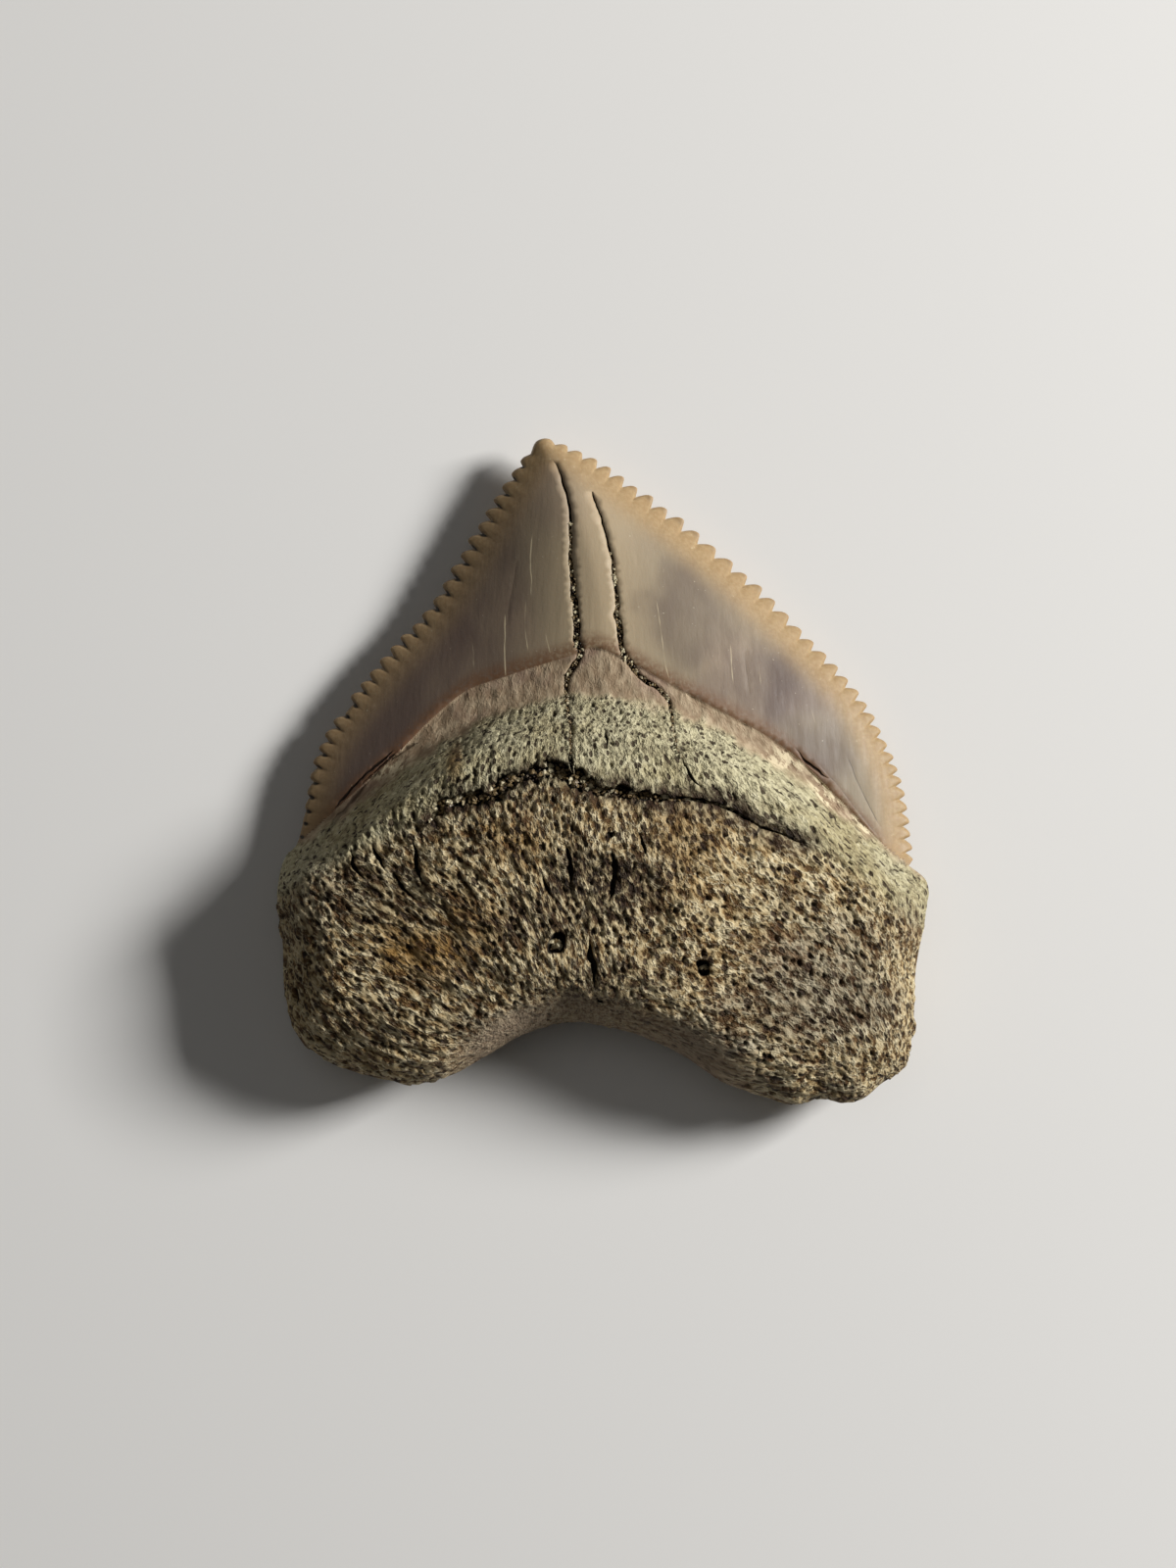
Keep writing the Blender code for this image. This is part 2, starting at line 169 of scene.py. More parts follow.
left_line = spline(LEFT_EDGE, EDGE_STEP)[::-1]
right_line = spline(RIGHT_EDGE, EDGE_STEP)
root_line = spline(ROOT_EDGE, EDGE_STEP)
tip_line = spline([LEFT_EDGE[-1], *TIP, RIGHT_EDGE[0]], TIP_STEP)[1:-1]
left_base, left_rim, left_share, left_dirt_and_shade = (
    column[::-1] for column in serrate(left_line, LEFT_PITCH, LEFT_HEIGHT, WORN_SERRATION, 1)
)
right_base, right_rim, right_share, right_dirt_and_shade = serrate(
    right_line, RIGHT_PITCH, RIGHT_HEIGHT, NO_WORN_SERRATION, -1
)
root_inner = root_line[1:-1]
plain_root = np.full(len(root_inner), 0.5)
plain_tip = np.full(len(tip_line), 0.5)
base = np.concatenate([right_base, root_inner, left_base, tip_line])
rim = np.concatenate([right_rim, root_inner, left_rim, tip_line])
nub_share = np.concatenate([right_share, plain_root, left_share, plain_tip])
left_dirt_and_shade = np.clip(LEFT_LEAST_DIRT_AND_SHADE + LEFT_DIRT_AND_SHADE_SPREAD * left_dirt_and_shade, 0.0, 1.0)
nub_dirt_and_shade = np.concatenate([right_dirt_and_shade * RIGHT_DIRT_AND_SHADE, plain_root * 0, left_dirt_and_shade, plain_tip * 0])
is_root = np.concatenate([right_share * 0, plain_root * 0 + 1, left_share * 0, plain_tip * 0])
centre = (rim.max(axis=0) + rim.min(axis=0)) / 2
root_line = root_line - centre
left_line = (left_line - centre)[::-1]
right_line = (right_line - centre)[::-1]
base = base - centre
rim = rim - centre
closed_rim = np.concatenate([rim, rim[:1]])

# ---------------- the two faces of the tooth
# Bone and dentine grew between the lingual face, domed and with the root's thick swelling, and the
# labial face, nearly flat, that the tooth lies on. Both faces are heights over the outline.
RIM_HEIGHT = [(-13.6, 2.3), (-7.0, 2.3), (-4.6, 2.1), (-3.0, 1.6), (0.0, 1.4), (8.0, 1.3), (13.6, 1.5)]
CROWN_DOME = [(-13.6, 3.2), (-4.0, 3.2), (2.0, 3.0), (5.0, 2.6), (8.0, 2.0), (10.0, 1.5), (12.0, 0.8),
              (13.6, 0.25)]
ROOT_CREST = [(-13.6, 4.7), (-11.0, 5.2), (-9.0, 5.6), (-7.0, 5.95), (-5.0, 6.25), (-2.5, 6.4),
              (-0.5, 6.15), (1.5, 5.4), (3.2, 4.6)]
LABIAL_BULGE = [(-13.6, 1.75), (-3.0, 1.75), (0.0, 1.8), (3.0, 1.7), (4.5, 1.45), (8.0, 1.1), (10.0, 0.8),
                (12.0, 0.4), (13.6, 0.15)]
ROOT_TOP = [(-13.3, -3.7), (-10.2, -1.5), (-6.6, 1.0), (-3.7, 2.45), (0.7, 2.8), (4.3, 1.75), (7.9, -0.45),
            (11.6, -3.35), (13.3, -4.5)]
ENAMEL_END = [(-13.3, -3.6), (-12.0, -2.6), (-10.2, -1.0), (-8.4, 0.6), (-6.9, 2.1), (-5.6, 3.15),
              (-4.0, 3.75), (-1.3, 4.6), (-0.4, 4.9), (0.9, 4.45), (2.5, 3.55), (4.3, 2.6), (7.9, 0.45),
              (9.6, -1.2), (11.6, -3.2), (13.3, -4.4)]
LABIAL_BORDER = [(-13.3, -3.0), (0.0, -5.3), (13.3, -3.6)]
ROOT_AXIS_X = -0.4
ROOT_FALL = 12.0
ROOT_ROUNDING = 2.6
LABIAL_ROUNDING = 1.6
ROOT_LABIAL_DEPTH = 1.5
EDGE_HALF_THICKNESS = 0.08
EDGE_ROUNDING = 0.13
ROOT_WALL_HALF_HEIGHT = 0.35
CROWN_OVERHANG = 0.25
# How the lingual dome falls away from its middle line: the higher, the flatter its top.
DOME_FALL_LEFT = 1.35
DOME_FALL_RIGHT = 1.9
LABIAL_FALL = 2.2
ENAMEL_THICKNESS = 0.07
REST_CENTRE = (-0.1, -1.2)
REST_RADII = (4.8, 3.9)
REST_SLOPE = 0.04
ROOT_LIP_HEIGHT = 0.12


def distance_to_line(points, line):
    """Each point's distance from a polyline."""
    best = np.full(len(points), np.inf)
    for a, b in zip(line[:-1], line[1:]):
        ab = b - a
        t = np.clip((points - a) @ ab / max(ab @ ab, 1e-12), 0.0, 1.0)
        gap = points - a - t[:, None] * ab
        best = np.minimum(best, gap[:, 0] ** 2 + gap[:, 1] ** 2)
    return np.sqrt(best)


def across_crown(points):
    """0 on the crown's middle line, -1 just outside its left cutting edge and 1 outside its right one."""
    x, y = points.T
    low = np.interp(y, left_line[:, 1], left_line[:, 0])
    high = np.interp(y, right_line[:, 1], right_line[:, 0])
    half = np.maximum((high - low) / 2, 0.1) + CROWN_OVERHANG * math.sqrt(2)
    return np.clip((x - (high + low) / 2) / half, -1.0, 1.0)


def quarter_round(depth, radius):
    """0 at a rim, 1 from one radius inside it, round between."""
    return np.sqrt(np.clip(1 - np.clip(1 - depth / radius, 0.0, 1.0) ** 2, 0.0, 1.0))


def lingual_height(points):
    """The height of the face that is seen, at points of the plan."""
    x, y = points.T
    root_depth, edge_depth = distance_to_line(points, root_line), distance_to_line(points, closed_rim)
    base_rim = smooth_curve(RIM_HEIGHT, y)
    across = across_crown(points)
    dome_fall = np.where(across < 0, DOME_FALL_LEFT, DOME_FALL_RIGHT)
    dome = smooth_curve(CROWN_DOME, y) * (1 - np.abs(across) ** dome_fall)
    crown = (EDGE_HALF_THICKNESS + dome) * quarter_round(edge_depth, EDGE_ROUNDING)
    on_enamel = smooth_step(-0.03, 0.03, y - smooth_curve(ENAMEL_END, x))
    crown += ENAMEL_THICKNESS * on_enamel * smooth_step(0, 1, edge_depth)
    fall = 1 / (1 + ((x - ROOT_AXIS_X) / ROOT_FALL) ** 2)
    bone = (smooth_curve(ROOT_CREST, y) - base_rim) * fall + ROOT_WALL_HALF_HEIGHT
    bone = bone * quarter_round(root_depth, ROOT_ROUNDING)
    below_top = smooth_curve(ROOT_TOP, x) - y
    share = smooth_step(-0.4, 1.6, below_top)
    lip = ROOT_LIP_HEIGHT * smooth_step(-0.1, 0.25, below_top) * smooth_step(0.0, 0.8, root_depth)
    return base_rim + crown * (1 - share) + bone * share + lip * (1 - share)


def labial_height(points):
    """The height of the face that the tooth lies on."""
    x, y = points.T
    root_depth, edge_depth = distance_to_line(points, root_line), distance_to_line(points, closed_rim)
    base_rim = smooth_curve(RIM_HEIGHT, y)
    bulge = smooth_curve(LABIAL_BULGE, y) * (1 - np.abs(across_crown(points)) ** LABIAL_FALL)
    crown = (EDGE_HALF_THICKNESS + bulge) * quarter_round(edge_depth, EDGE_ROUNDING)
    bone = ROOT_LABIAL_DEPTH * quarter_round(root_depth, LABIAL_ROUNDING)
    share = smooth_step(-0.3, 0.9, smooth_curve(LABIAL_BORDER, x) - y)
    face = base_rim - crown * (1 - share) - bone * share
    outside_rest = np.linalg.norm((points - REST_CENTRE) / REST_RADII, axis=1) - 1
    return np.where(outside_rest < 0.01, 0.0, np.maximum(face, REST_SLOPE * outside_rest))


# ---------------- cracks, cleft and holes
# Drying split the enamel along its length and opened a jagged cleft across the root, after burial
# packed sediment into them. Two foramina, where vessels once went in, and slits pierce the root.
CROWN_CRACKS = [  # path, half width, depth
    ([(-1.92, 12.4), (-1.64, 11.78), (-1.4, 10.58), (-1.28, 8.78), (-1.2, 7.6), (-1.13, 6.4), (-1.02, 5.3),
      (-0.9, 4.7), (-1.28, 4.06), (-1.5, 3.34), (-1.42, 2.62), (-1.3, 1.6), (-1.32, 0.46)], 0.13, 0.38),
    ([(-0.5, 11.55), (-0.12, 10.34), (0.16, 9.34), (0.4, 8.26), (0.52, 6.98), (0.64, 5.7), (0.86, 4.7),
      (1.4, 3.9), (2.12, 3.3), (2.6, 2.9), (2.76, 1.74), (3.12, 0.46)], 0.11, 0.34),
]
HAIRLINES = [  # path, darkness: below 0 is healed pale
    ([(-2.85, 9.7), (-2.92, 8.3), (-2.9, 6.97)], -0.7),
    ([(-3.95, 6.4), (-3.98, 5.0), (-3.92, 3.55)], -0.9),
    ([(-3.1, 6.97), (-3.15, 5.6), (-3.0, 4.62)], -0.4),
    ([(-2.35, 5.6), (-2.2, 5.0), (-2.1, 4.55)], -0.5),
    ([(-3.5, 8.4), (-3.75, 6.8), (-3.9, 5.9)], 0.35),
    ([(-5.3, 5.3), (-5.2, 3.9)], -0.3),
    ([(2.12, 7.0), (2.35, 5.5), (2.6, 3.9), (2.75, 3.5)], -0.35),
    ([(3.2, 3.35), (3.45, 2.95), (3.6, 2.55)], 0.9),
    ([(0.32, 3.75), (0.38, 3.2), (0.5, 2.5)], 0.8),
    ([(1.38, 3.75), (1.5, 3.0), (1.62, 1.9)], 0.9),
    ([(5.15, 5.2), (5.2, 4.2), (5.3, 3.4)], -0.45),
    ([(6.3, 4.3), (6.42, 3.3)], -0.3),
    ([(5.75, 4.7), (5.9, 3.2)], 0.25),
    ([(7.0, 4.0), (7.05, 3.0)], 0.2),
    ([(8.4, 2.7), (8.7, 1.6)], -0.2),
    ([(9.9, 0.6), (10.7, -1.2), (11.3, -2.3)], 0.45),
    ([(8.8, 0.2), (10.0, -1.2), (11.2, -2.7)], 0.35),
]
CLEFT = [(-6.95, -2.05), (-6.3, -1.35), (-5.6, -1.12), (-4.6, -1.08), (-4.1, -0.75), (-3.4, -0.4),
         (-2.6, -0.12), (-1.8, -0.08), (-1.1, -0.35), (-0.4, -0.72), (0.8, -0.85), (2.0, -1.12),
         (3.3, -1.22), (4.7, -1.42), (5.7, -1.95), (6.6, -2.4), (7.4, -2.7), (8.0, -3.0)]
CLEFT_DEPTH = 0.75
# Half widths at places along the cleft, and how far a crown crack is open along its own run.
CLEFT_HALF_WIDTHS = [(0.0, 0.14), (1.2, 0.24), (3.5, 0.32), (6.0, 0.32), (8.5, 0.2), (11.0, 0.09),
                     (15.5, 0.04)]
CROWN_CRACK_OPENING = [(0.0, 0.2), (2.0, 0.35), (4.0, 0.55), (6.5, 1.05), (8.0, 0.95), (9.5, 0.6),
                       (30.0, 0.5)]
CROWN_CRACK_FILLED_FROM = 2.4
FURROW_DARKNESS = 0.5
SLITS = [  # short openings in the spongy bone: path, half width, depth
    ([(-9.3, -3.1), (-9.1, -3.5), (-8.8, -4.0)], 0.11, 0.4),
    ([(-10.1, -3.3), (-9.95, -3.9), (-9.6, -4.4)], 0.08, 0.3),
    ([(-7.6, -2.9), (-7.45, -3.7), (-7.3, -4.6)], 0.08, 0.32),
    ([(-8.4, -4.2), (-7.9, -4.9), (-7.5, -5.2)], 0.07, 0.25),
    ([(-0.55, -7.0), (-0.42, -7.8), (-0.35, -8.5)], 0.14, 0.4),
    ([(-1.5, -3.0), (-1.3, -3.9), (-1.35, -4.6)], 0.1, 0.3),
    ([(0.3, -3.2), (0.45, -4.3), (0.3, -5.2)], 0.1, 0.3),
    ([(-2.4, -4.3), (-2.1, -5.1)], 0.1, 0.3),
    ([(1.5, -2.6), (1.7, -3.4)], 0.09, 0.3),
    ([(-1.35, 0.9), (-1.3, 0.2), (-1.2, -0.2)], 0.09, 0.3),
    ([(0.1, 1.6), (0.15, 0.9)], 0.08, 0.3),
    ([(-11.0, -10.9), (-11.05, -11.5), (-10.9, -12.0)], 0.09, 0.35),
    ([(3.2, 0.4), (3.5, -0.2), (3.9, -0.7)], 0.05, 0.2),
]
NECK_FURROWS = [
    ([(-11.3, -2.6), (-10.4, -1.5), (-9.5, -0.4), (-8.4, 0.55), (-7.6, 1.1)], 0.1, 0.1),
    ([(-10.9, -1.55), (-10.0, -0.55), (-9.2, 0.25), (-8.5, 0.75)], 0.06, 0.07),
    ([(7.9, 0.75), (8.25, 0.35), (8.7, 0.05), (9.1, -0.35)], 0.06, 0.12),
]
FORAMINA = [  # centre, radius, depth, raised lip and the side it is on
    ((-1.88, -7.0), 0.4, 0.8, 0.22, 135),
    ((4.0, -7.95), 0.3, 0.8, 0.03, 90),
    ((-0.12, -9.3), 0.14, 0.3, 0.02, 90),
    ((0.28, -2.6), 0.13, 0.3, 0.0, 90),
]
# Rows down a crack's wall, from its brink: share of the half width, share of the depth, how hollow.
# How hollow a row is sets how near black it is painted: painted shade.
CRACK_ROWS = [(1.3, 0.0, 0.0), (1.0, 0.12, 0.25), (0.8, 0.75, 1.0), (0.3, 1.0, 1.0)]
# Rings down a foramen: share of the radius, share of the depth, how hollow, share of the lip.
# How hollow a ring is sets how near black it is painted: painted shade.
FORAMEN_RINGS = [(1.5, 0.0, 0.0, 0.35), (1.2, 0.0, 0.0, 1.0), (1.0, 0.12, 0.4, 0.8), (0.88, 0.5, 1.0, 0.8),
                 (0.7, 0.85, 1.0, 0.8), (0.35, 1.0, 1.0, 0.8)]
ROW_STEP = 0.075
HAIRLINE_HALF_WIDTH = 0.035
HAIRLINE_DEPTH = 0.006
LINE_CLEARANCE = 0.06

# How hollow a point is sets how dark it is painted: painted shade in cracks, slits and foramina.
features = []  # x, y, how deep, how hollow, a hairline's darkness
cleared = []  # lines that the plain fields keep clear of, each with its reach
beds = []  # the grains' beds: line, half widths, depth, whether it is in the root's cleft


def lay(rows, points, *values):
    """Adds points to `rows`, each followed by its values."""
    rows.append(np.column_stack([points, *(np.broadcast_to(value, len(points)) for value in values)]))


def sideways(line):
    """The direction across a line at each of its points."""
    along = np.gradient(line, axis=0)
    side = np.stack([-along[:, 1], along[:, 0]], axis=1)
    return side / np.linalg.norm(side, axis=1)[:, None]


def lay_crack(path, half_widths, depth, seed, ragged, filled_from=None, darkness=1.0):
    """Rows of points down a crack's walls and floor. Its walls wander apart, and both ends narrow."""
    line = spline(path, ROW_STEP)
    side = sideways(line)
    run = run_of(line)
    place = run[:, None]
    line = line + side * (0.05 * drift(place, 0.45, seed) + 0.02 * drift(place, 0.15, seed + 1))[:, None]
    taper = np.clip(np.minimum(run, run[-1] - run) / 0.5, 0.05, 1.0) ** 0.6
    for sign in (-1, 1):
        wander = drift(place, 0.3, seed + 2 + sign) + 0.5 * drift(place, 0.11, seed + 5 + sign)
        half = half_widths * taper * (1 + ragged * wander)
        floor = depth * taper * (1 + 0.3 * drift(place, 0.25, seed + 9 + sign))
        for share, drop_share, hollow in CRACK_ROWS:
            wall = line + side * (sign * share * half)[:, None]
            lay(features, wall, floor * drop_share, hollow * darkness, 0.0)
    cleared.append((line, float(np.max(half_widths)) * 1.35))
    if filled_from is not None:
        in_bed = run >= filled_from
        widths, depths = half_widths * taper, depth * taper
        beds.append((line[in_bed], widths[in_bed], depths[in_bed], depth == CLEFT_DEPTH))


for number, (path, half, depth) in enumerate(CROWN_CRACKS):
    half_widths = half * smooth_curve(CROWN_CRACK_OPENING, run_of(spline(path, ROW_STEP)))
    lay_crack(path, half_widths, depth, 20 + 31 * number, 0.3, CROWN_CRACK_FILLED_FROM)
lay_crack(CLEFT, smooth_curve(CLEFT_HALF_WIDTHS, run_of(spline(CLEFT, ROW_STEP))), CLEFT_DEPTH, 90, 0.6, 0.0)
for number, (path, half, depth) in enumerate(SLITS + NECK_FURROWS):
    darkness = 1.0 if number < len(SLITS) else FURROW_DARKNESS
    half_widths = np.full(len(spline(path, ROW_STEP)), half)
    lay_crack(path, half_widths, depth, 200 + 13 * number, 0.35, darkness=darkness)
for number, (path, darkness) in enumerate(HAIRLINES):
    line = spline(path, ROW_STEP)
    side = sideways(line)
    run = run_of(line)
    line = line + side * (0.03 * drift(run[:, None], 0.5, 300 + number))[:, None]
    fading = np.clip(np.minimum(run, run[-1] - run) / 0.4, 0.1, 1.0)
    strength = darkness * fading * (0.75 + 0.35 * drift(run[:, None], 0.25, 320 + number))
    lay(features, line, HAIRLINE_DEPTH if darkness > 0 else 0.0, 0.0, strength)
    for sign in (-1, 1):
        lay(features, line + side * sign * HAIRLINE_HALF_WIDTH, 0.0, 0.0, 0.0)
    cleared.append((line, LINE_CLEARANCE))

border_x = np.arange(-12.3, 12.3, ROW_STEP * 0.8)
border = np.column_stack([border_x, smooth_curve(ENAMEL_END, border_x)])
for offset in (-0.03, 0.03):
    lay(features, border + [0.0, offset], 0.0, 0.0, 0.0)
cleared.append((border[::3], LINE_CLEARANCE))

for (cx, cy), radius, depth, lip, lip_side in FORAMINA:
    for share, drop_share, hollow, lip_share in FORAMEN_RINGS:
        count = max(6, int(2 * math.pi * radius * share / (0.8 * ROW_STEP)))
        angles = np.arange(count) * 2 * math.pi / count
        ring = np.stack([np.cos(angles), np.sin(angles)], axis=1)
        wobble = radius * share * (1 + 0.3 * drift(ring, 0.7, 400 + int(100 * radius)))
        facing = np.clip(np.cos(angles - math.radians(lip_side)), 0.0, 1.0) ** 2
        raised = lip * facing * lip_share
        lay(features, np.array([cx, cy]) + ring * wobble[:, None], depth * drop_share - raised, hollow, 0.0)
    lay(features, np.array([[cx, cy]]), depth, 1.0, 0.0)
    cleared.append((np.array([[cx, cy], [cx + 0.01, cy]]), radius * 1.55))
    if radius > 0.2:
        floor_line = np.array([[cx - 0.45 * radius, cy], [cx, cy], [cx + 0.45 * radius, cy]])
        beds.append((floor_line, np.full(3, 0.5 * radius), np.full(3, 1.2 * depth), True))

features = np.concatenate(features)

# ---------------- the tooth's surface
# One closed skin: rings that roll over the rim and follow each serration inwards, then fine
# triangles over both faces, closest where the root's bone is porous and along every crack.
BAND_DEPTH = 0.9
TIP_BAND_DEPTH = 0.2
LINGUAL_RINGS = 11
LABIAL_RINGS = 6
ROOT_SPACING = 0.076
CROWN_SPACING = 0.19
LABIAL_ROOT_SPACING = 0.16
LABIAL_CROWN_SPACING = 0.32
FIELD_HALF = 15.0
FIELD_SPREAD = 0.16
DIRECTION_REACH = 0.8
GROOVE_REACH = 0.24
GROOVE_DEPTH = 0.07


def inward_lines():
    """For each rim point, one BAND_DEPTH inside the smooth base line, less jagged than the serrations."""
    closed = np.concatenate([base, base[:1]])
    length = run_of(closed)
    here = length[:-1]
    ahead = read_line(closed, length, here + DIRECTION_REACH, length[-1])
    behind = read_line(closed, length, here - DIRECTION_REACH, length[-1])
    along = ahead - behind
    inward = np.stack([along[:, 1], -along[:, 0]], axis=1)
    inward /= np.linalg.norm(inward, axis=1)[:, None]
    tip_place = length[len(base) - len(tip_line) // 2]
    from_tip = np.abs((here - tip_place + length[-1] / 2) % length[-1] - length[-1] / 2)
    depth = TIP_BAND_DEPTH + (BAND_DEPTH - TIP_BAND_DEPTH) * smooth_step(0.3, 3.4, from_tip)
    return base + inward * depth[:, None]


def ring_weights(rings):
    """How far in each ring lies: closer to the rim on the crown, even round the root's rounding."""
    k = np.arange(1, rings + 1) / rings
    turn = math.acos(1 - BAND_DEPTH / ROOT_ROUNDING)
    return k**1.7, (1 - np.cos(k * turn)) / (1 - math.cos(turn))


def is_inside(points, closed):
    """Whether each point is inside a closed line."""
    x, y = points.T
    inside = np.zeros(len(points), bool)
    for (ax, ay), (bx, by) in zip(closed[:-1], closed[1:]):
        if ay != by:
            inside ^= ((ay > y) != (by > y)) & (x < ax + (y - ay) * (bx - ax) / (by - ay))
    return inside


def field_of(spacing, seed):
    """Rows of a triangular field, each point moved a little."""
    draw = np.random.default_rng(seed)
    row_step = spacing * math.sqrt(3) / 2
    rows, columns = int(2 * FIELD_HALF / row_step), int(2 * FIELD_HALF / spacing)
    row, column = np.mgrid[0:rows, 0:columns]
    field = np.stack([(column + 0.5 * (row % 2)) * spacing, row * row_step], axis=-1)
    field = field.reshape(-1, 2) - FIELD_HALF
    return field + draw.uniform(-FIELD_SPREAD, FIELD_SPREAD, field.shape) * spacing


def fill_face(inner_ring, root_spacing, crown_spacing, border, seed, with_features):
    """Plan points inside the inner ring, and which features' points come first among them."""
    closed = np.concatenate([inner_ring, inner_ring[:1]])
    parts = []
    kept = np.zeros(len(features), bool)
    if with_features:
        kept = is_inside(features[:, :2], closed)
        kept[kept] = distance_to_line(features[kept, :2], closed) > 0.04
        parts.append(features[kept, :2])
    for spacing, on_root in ((root_spacing, True), (crown_spacing, False)):
        field = field_of(spacing, seed)
        field = field[(field[:, 1] < smooth_curve(border, field[:, 0]) + 0.1) == on_root]
        field = field[is_inside(field, closed)]
        field = field[distance_to_line(field, closed) > 0.55 * spacing]
        for line, reach in cleared if with_features else ():
            low, high = line.min(axis=0) - reach - spacing, line.max(axis=0) + reach + spacing
            near = np.all((field > low) & (field < high), axis=1)
            clear = np.ones(len(field), bool)
            clear[near] = distance_to_line(field[near], line) > reach + 0.4 * spacing
            field = field[clear]
        parts.append(field)
    return np.concatenate(parts), kept


def triangulate(ring, inner):
    """Triangles over the points inside a ring, and the point that each corner came from."""
    flat = [Vector(p) for p in np.concatenate([ring, inner])]
    verts, _, faces, origin, _, _ = delaunay_2d_cdt(flat, [], [list(range(len(ring)))], 1, 1e-5)
    return verts, faces, origin


inner_line = inward_lines()
columns = len(rim)
skin = []  # x, y, height, face (1 lingual, -1 labial, 0 rim), how deep, how hollow, hairline, dirt and shade
lay(skin, rim, smooth_curve(RIM_HEIGHT, rim[:, 1]), 0.0, 0.0, 0.0, 0.0, 0.0)
triangles = []
count = columns
near_notch = np.clip(1 - np.minimum(nub_share, 1 - nub_share) / 0.2, 0.0, 1.0) * (1 - is_root)
following = np.roll(np.arange(columns), -1)
for side, rings, height_of, face_settings in (
    (1, LINGUAL_RINGS, lingual_height, (ROOT_SPACING, CROWN_SPACING, ENAMEL_END, 1, True)),
    (-1, LABIAL_RINGS, labial_height, (LABIAL_ROOT_SPACING, LABIAL_CROWN_SPACING, LABIAL_BORDER, 2, False)),
):
    outer = np.arange(columns)
    for crown_weight, root_weight in zip(*ring_weights(rings)):
        weight = (crown_weight * (1 - is_root) + root_weight * is_root)[:, None]
        points = rim * (1 - weight) + inner_line * weight
        from_notch = weight[:, 0] * BAND_DEPTH
        inside_rim = smooth_step(0.0, 0.08, distance_to_line(points, closed_rim))
        groove = near_notch * np.exp(-((from_notch / GROOVE_REACH) ** 2)) * inside_rim
        at_notch = np.exp(-(((from_notch - 0.13) / 0.12) ** 2))
        # Notch darkness: dirt, and painted shade that is heavier along the left edge, away from the key
        # light.
        dirt_and_shade = near_notch**0.5 * at_notch * nub_dirt_and_shade
        lay(skin, points, height_of(points), side, GROOVE_DEPTH * groove, 0.0, 0.0, dirt_and_shade)
        inner = count + np.arange(columns)
        count += columns
        quads = [outer, outer[following], inner[following], inner][::side]
        triangles.append(np.stack([quads[0], quads[2], quads[1]], axis=1))
        triangles.append(np.stack([quads[0], quads[3], quads[2]], axis=1))
        outer = inner
    inside, kept = fill_face(points, *face_settings)
    verts, faces, origin = triangulate(points, inside)
    sources = np.array([min(group) for group in origin])
    on_ring = sources < columns
    fresh = np.nonzero(~on_ring)[0]
    place = np.full(len(verts), -1)
    place[on_ring] = outer[sources[on_ring]]
    place[fresh] = count + np.arange(len(fresh))
    count += len(fresh)
    points = np.array([(v.x, v.y) for v in verts])[fresh]
    feature = sources[fresh] - columns
    is_feature = feature < kept.sum()
    values = np.zeros((len(fresh), 3))
    values[is_feature] = features[np.nonzero(kept)[0][feature[is_feature]], 2:]
    lay(skin, points, height_of(points), side, *values.T, 0.0)
    faces = np.array([place[list(face)] for face in faces])
    triangles.append(faces[:, ::side])

skin = np.concatenate(skin)
plan = skin[:, :2]
points = skin[:, :3].copy()
height, face_side, drop, hollow, line_mark, dirt_and_shade = skin[:, 2:].T
triangles = np.concatenate(triangles)

# ---------------- zones of the surface
# Enamel ends in a clean line, the neck below it is bare dentine, and the root is porous bone whose
# vessels ran down from the crown and fanned out into both lobes.
LEAN_TOP = [(-13.0, -35), (-10.5, -30), (-8.0, -20), (-5.0, -4), (0.0, 2), (4.0, 12), (8.0, 30), (13.0, 36)]
LEAN_LOW = [(-13.0, 30), (-9.0, 46), (-6.0, 40), (-3.0, 22), (0.0, 12), (3.0, 20), (6.0, 34), (10.0, 28),
            (13.0, 10)]
GRAIN_HALF_WIDTH = 22
GRAIN_TOP = 5
GRAIN_BOTTOM = -15
GRAIN_STEP = 0.1


def lean(x, y):
    """How far the bone's grain leans from straight down the tooth, in radians."""
    low = smooth_step(0.5, -5.0, y)
    return np.radians(smooth_curve(LEAN_TOP, x) * (1 - low) + smooth_curve(LEAN_LOW, x) * low)


def grain_across(plan):
    """A coordinate that stays the same along the bone's grain, in millimetres across it at the neck."""
    xs = np.arange(-GRAIN_HALF_WIDTH, GRAIN_HALF_WIDTH, GRAIN_STEP)
    ys = np.arange(GRAIN_TOP, GRAIN_BOTTOM, -GRAIN_STEP)
    rows = [xs]
    for y in ys[1:]:
        above = xs - np.tan(lean(xs, np.full(len(xs), y))) * GRAIN_STEP
        rows.append(np.interp(above, xs, rows[-1]))
    rows = np.array(rows)
    row = np.clip((GRAIN_TOP - plan[:, 1]) / GRAIN_STEP, 0, len(ys) - 1.001)
    column = np.clip((plan[:, 0] + GRAIN_HALF_WIDTH) / GRAIN_STEP, 0, len(xs) - 1.001)
    r, c = row.astype(int), column.astype(int)
    fr, fc = row - r, column - c
    return ((rows[r, c] * (1 - fc) + rows[r, c + 1] * fc) * (1 - fr)
            + (rows[r + 1, c] * (1 - fc) + rows[r + 1, c + 1] * fc) * fr)


def patches(spots):
    """Soft patches on the surface: each spot is x, y, its two radii and its strength."""
    total = np.zeros(len(plan))
    wobble = 1 + 0.35 * drift(points, 1.6, 61) + 0.2 * drift(points, 0.6, 62)
    for x, y, rx, ry, strength in spots:
        reach = np.sqrt(((plan[:, 0] - x) / rx) ** 2 + ((plan[:, 1] - y) / ry) ** 2) * wobble
        total = np.maximum(total, strength * (1 - smooth_step(0.35, 1.1, reach)))
    return total


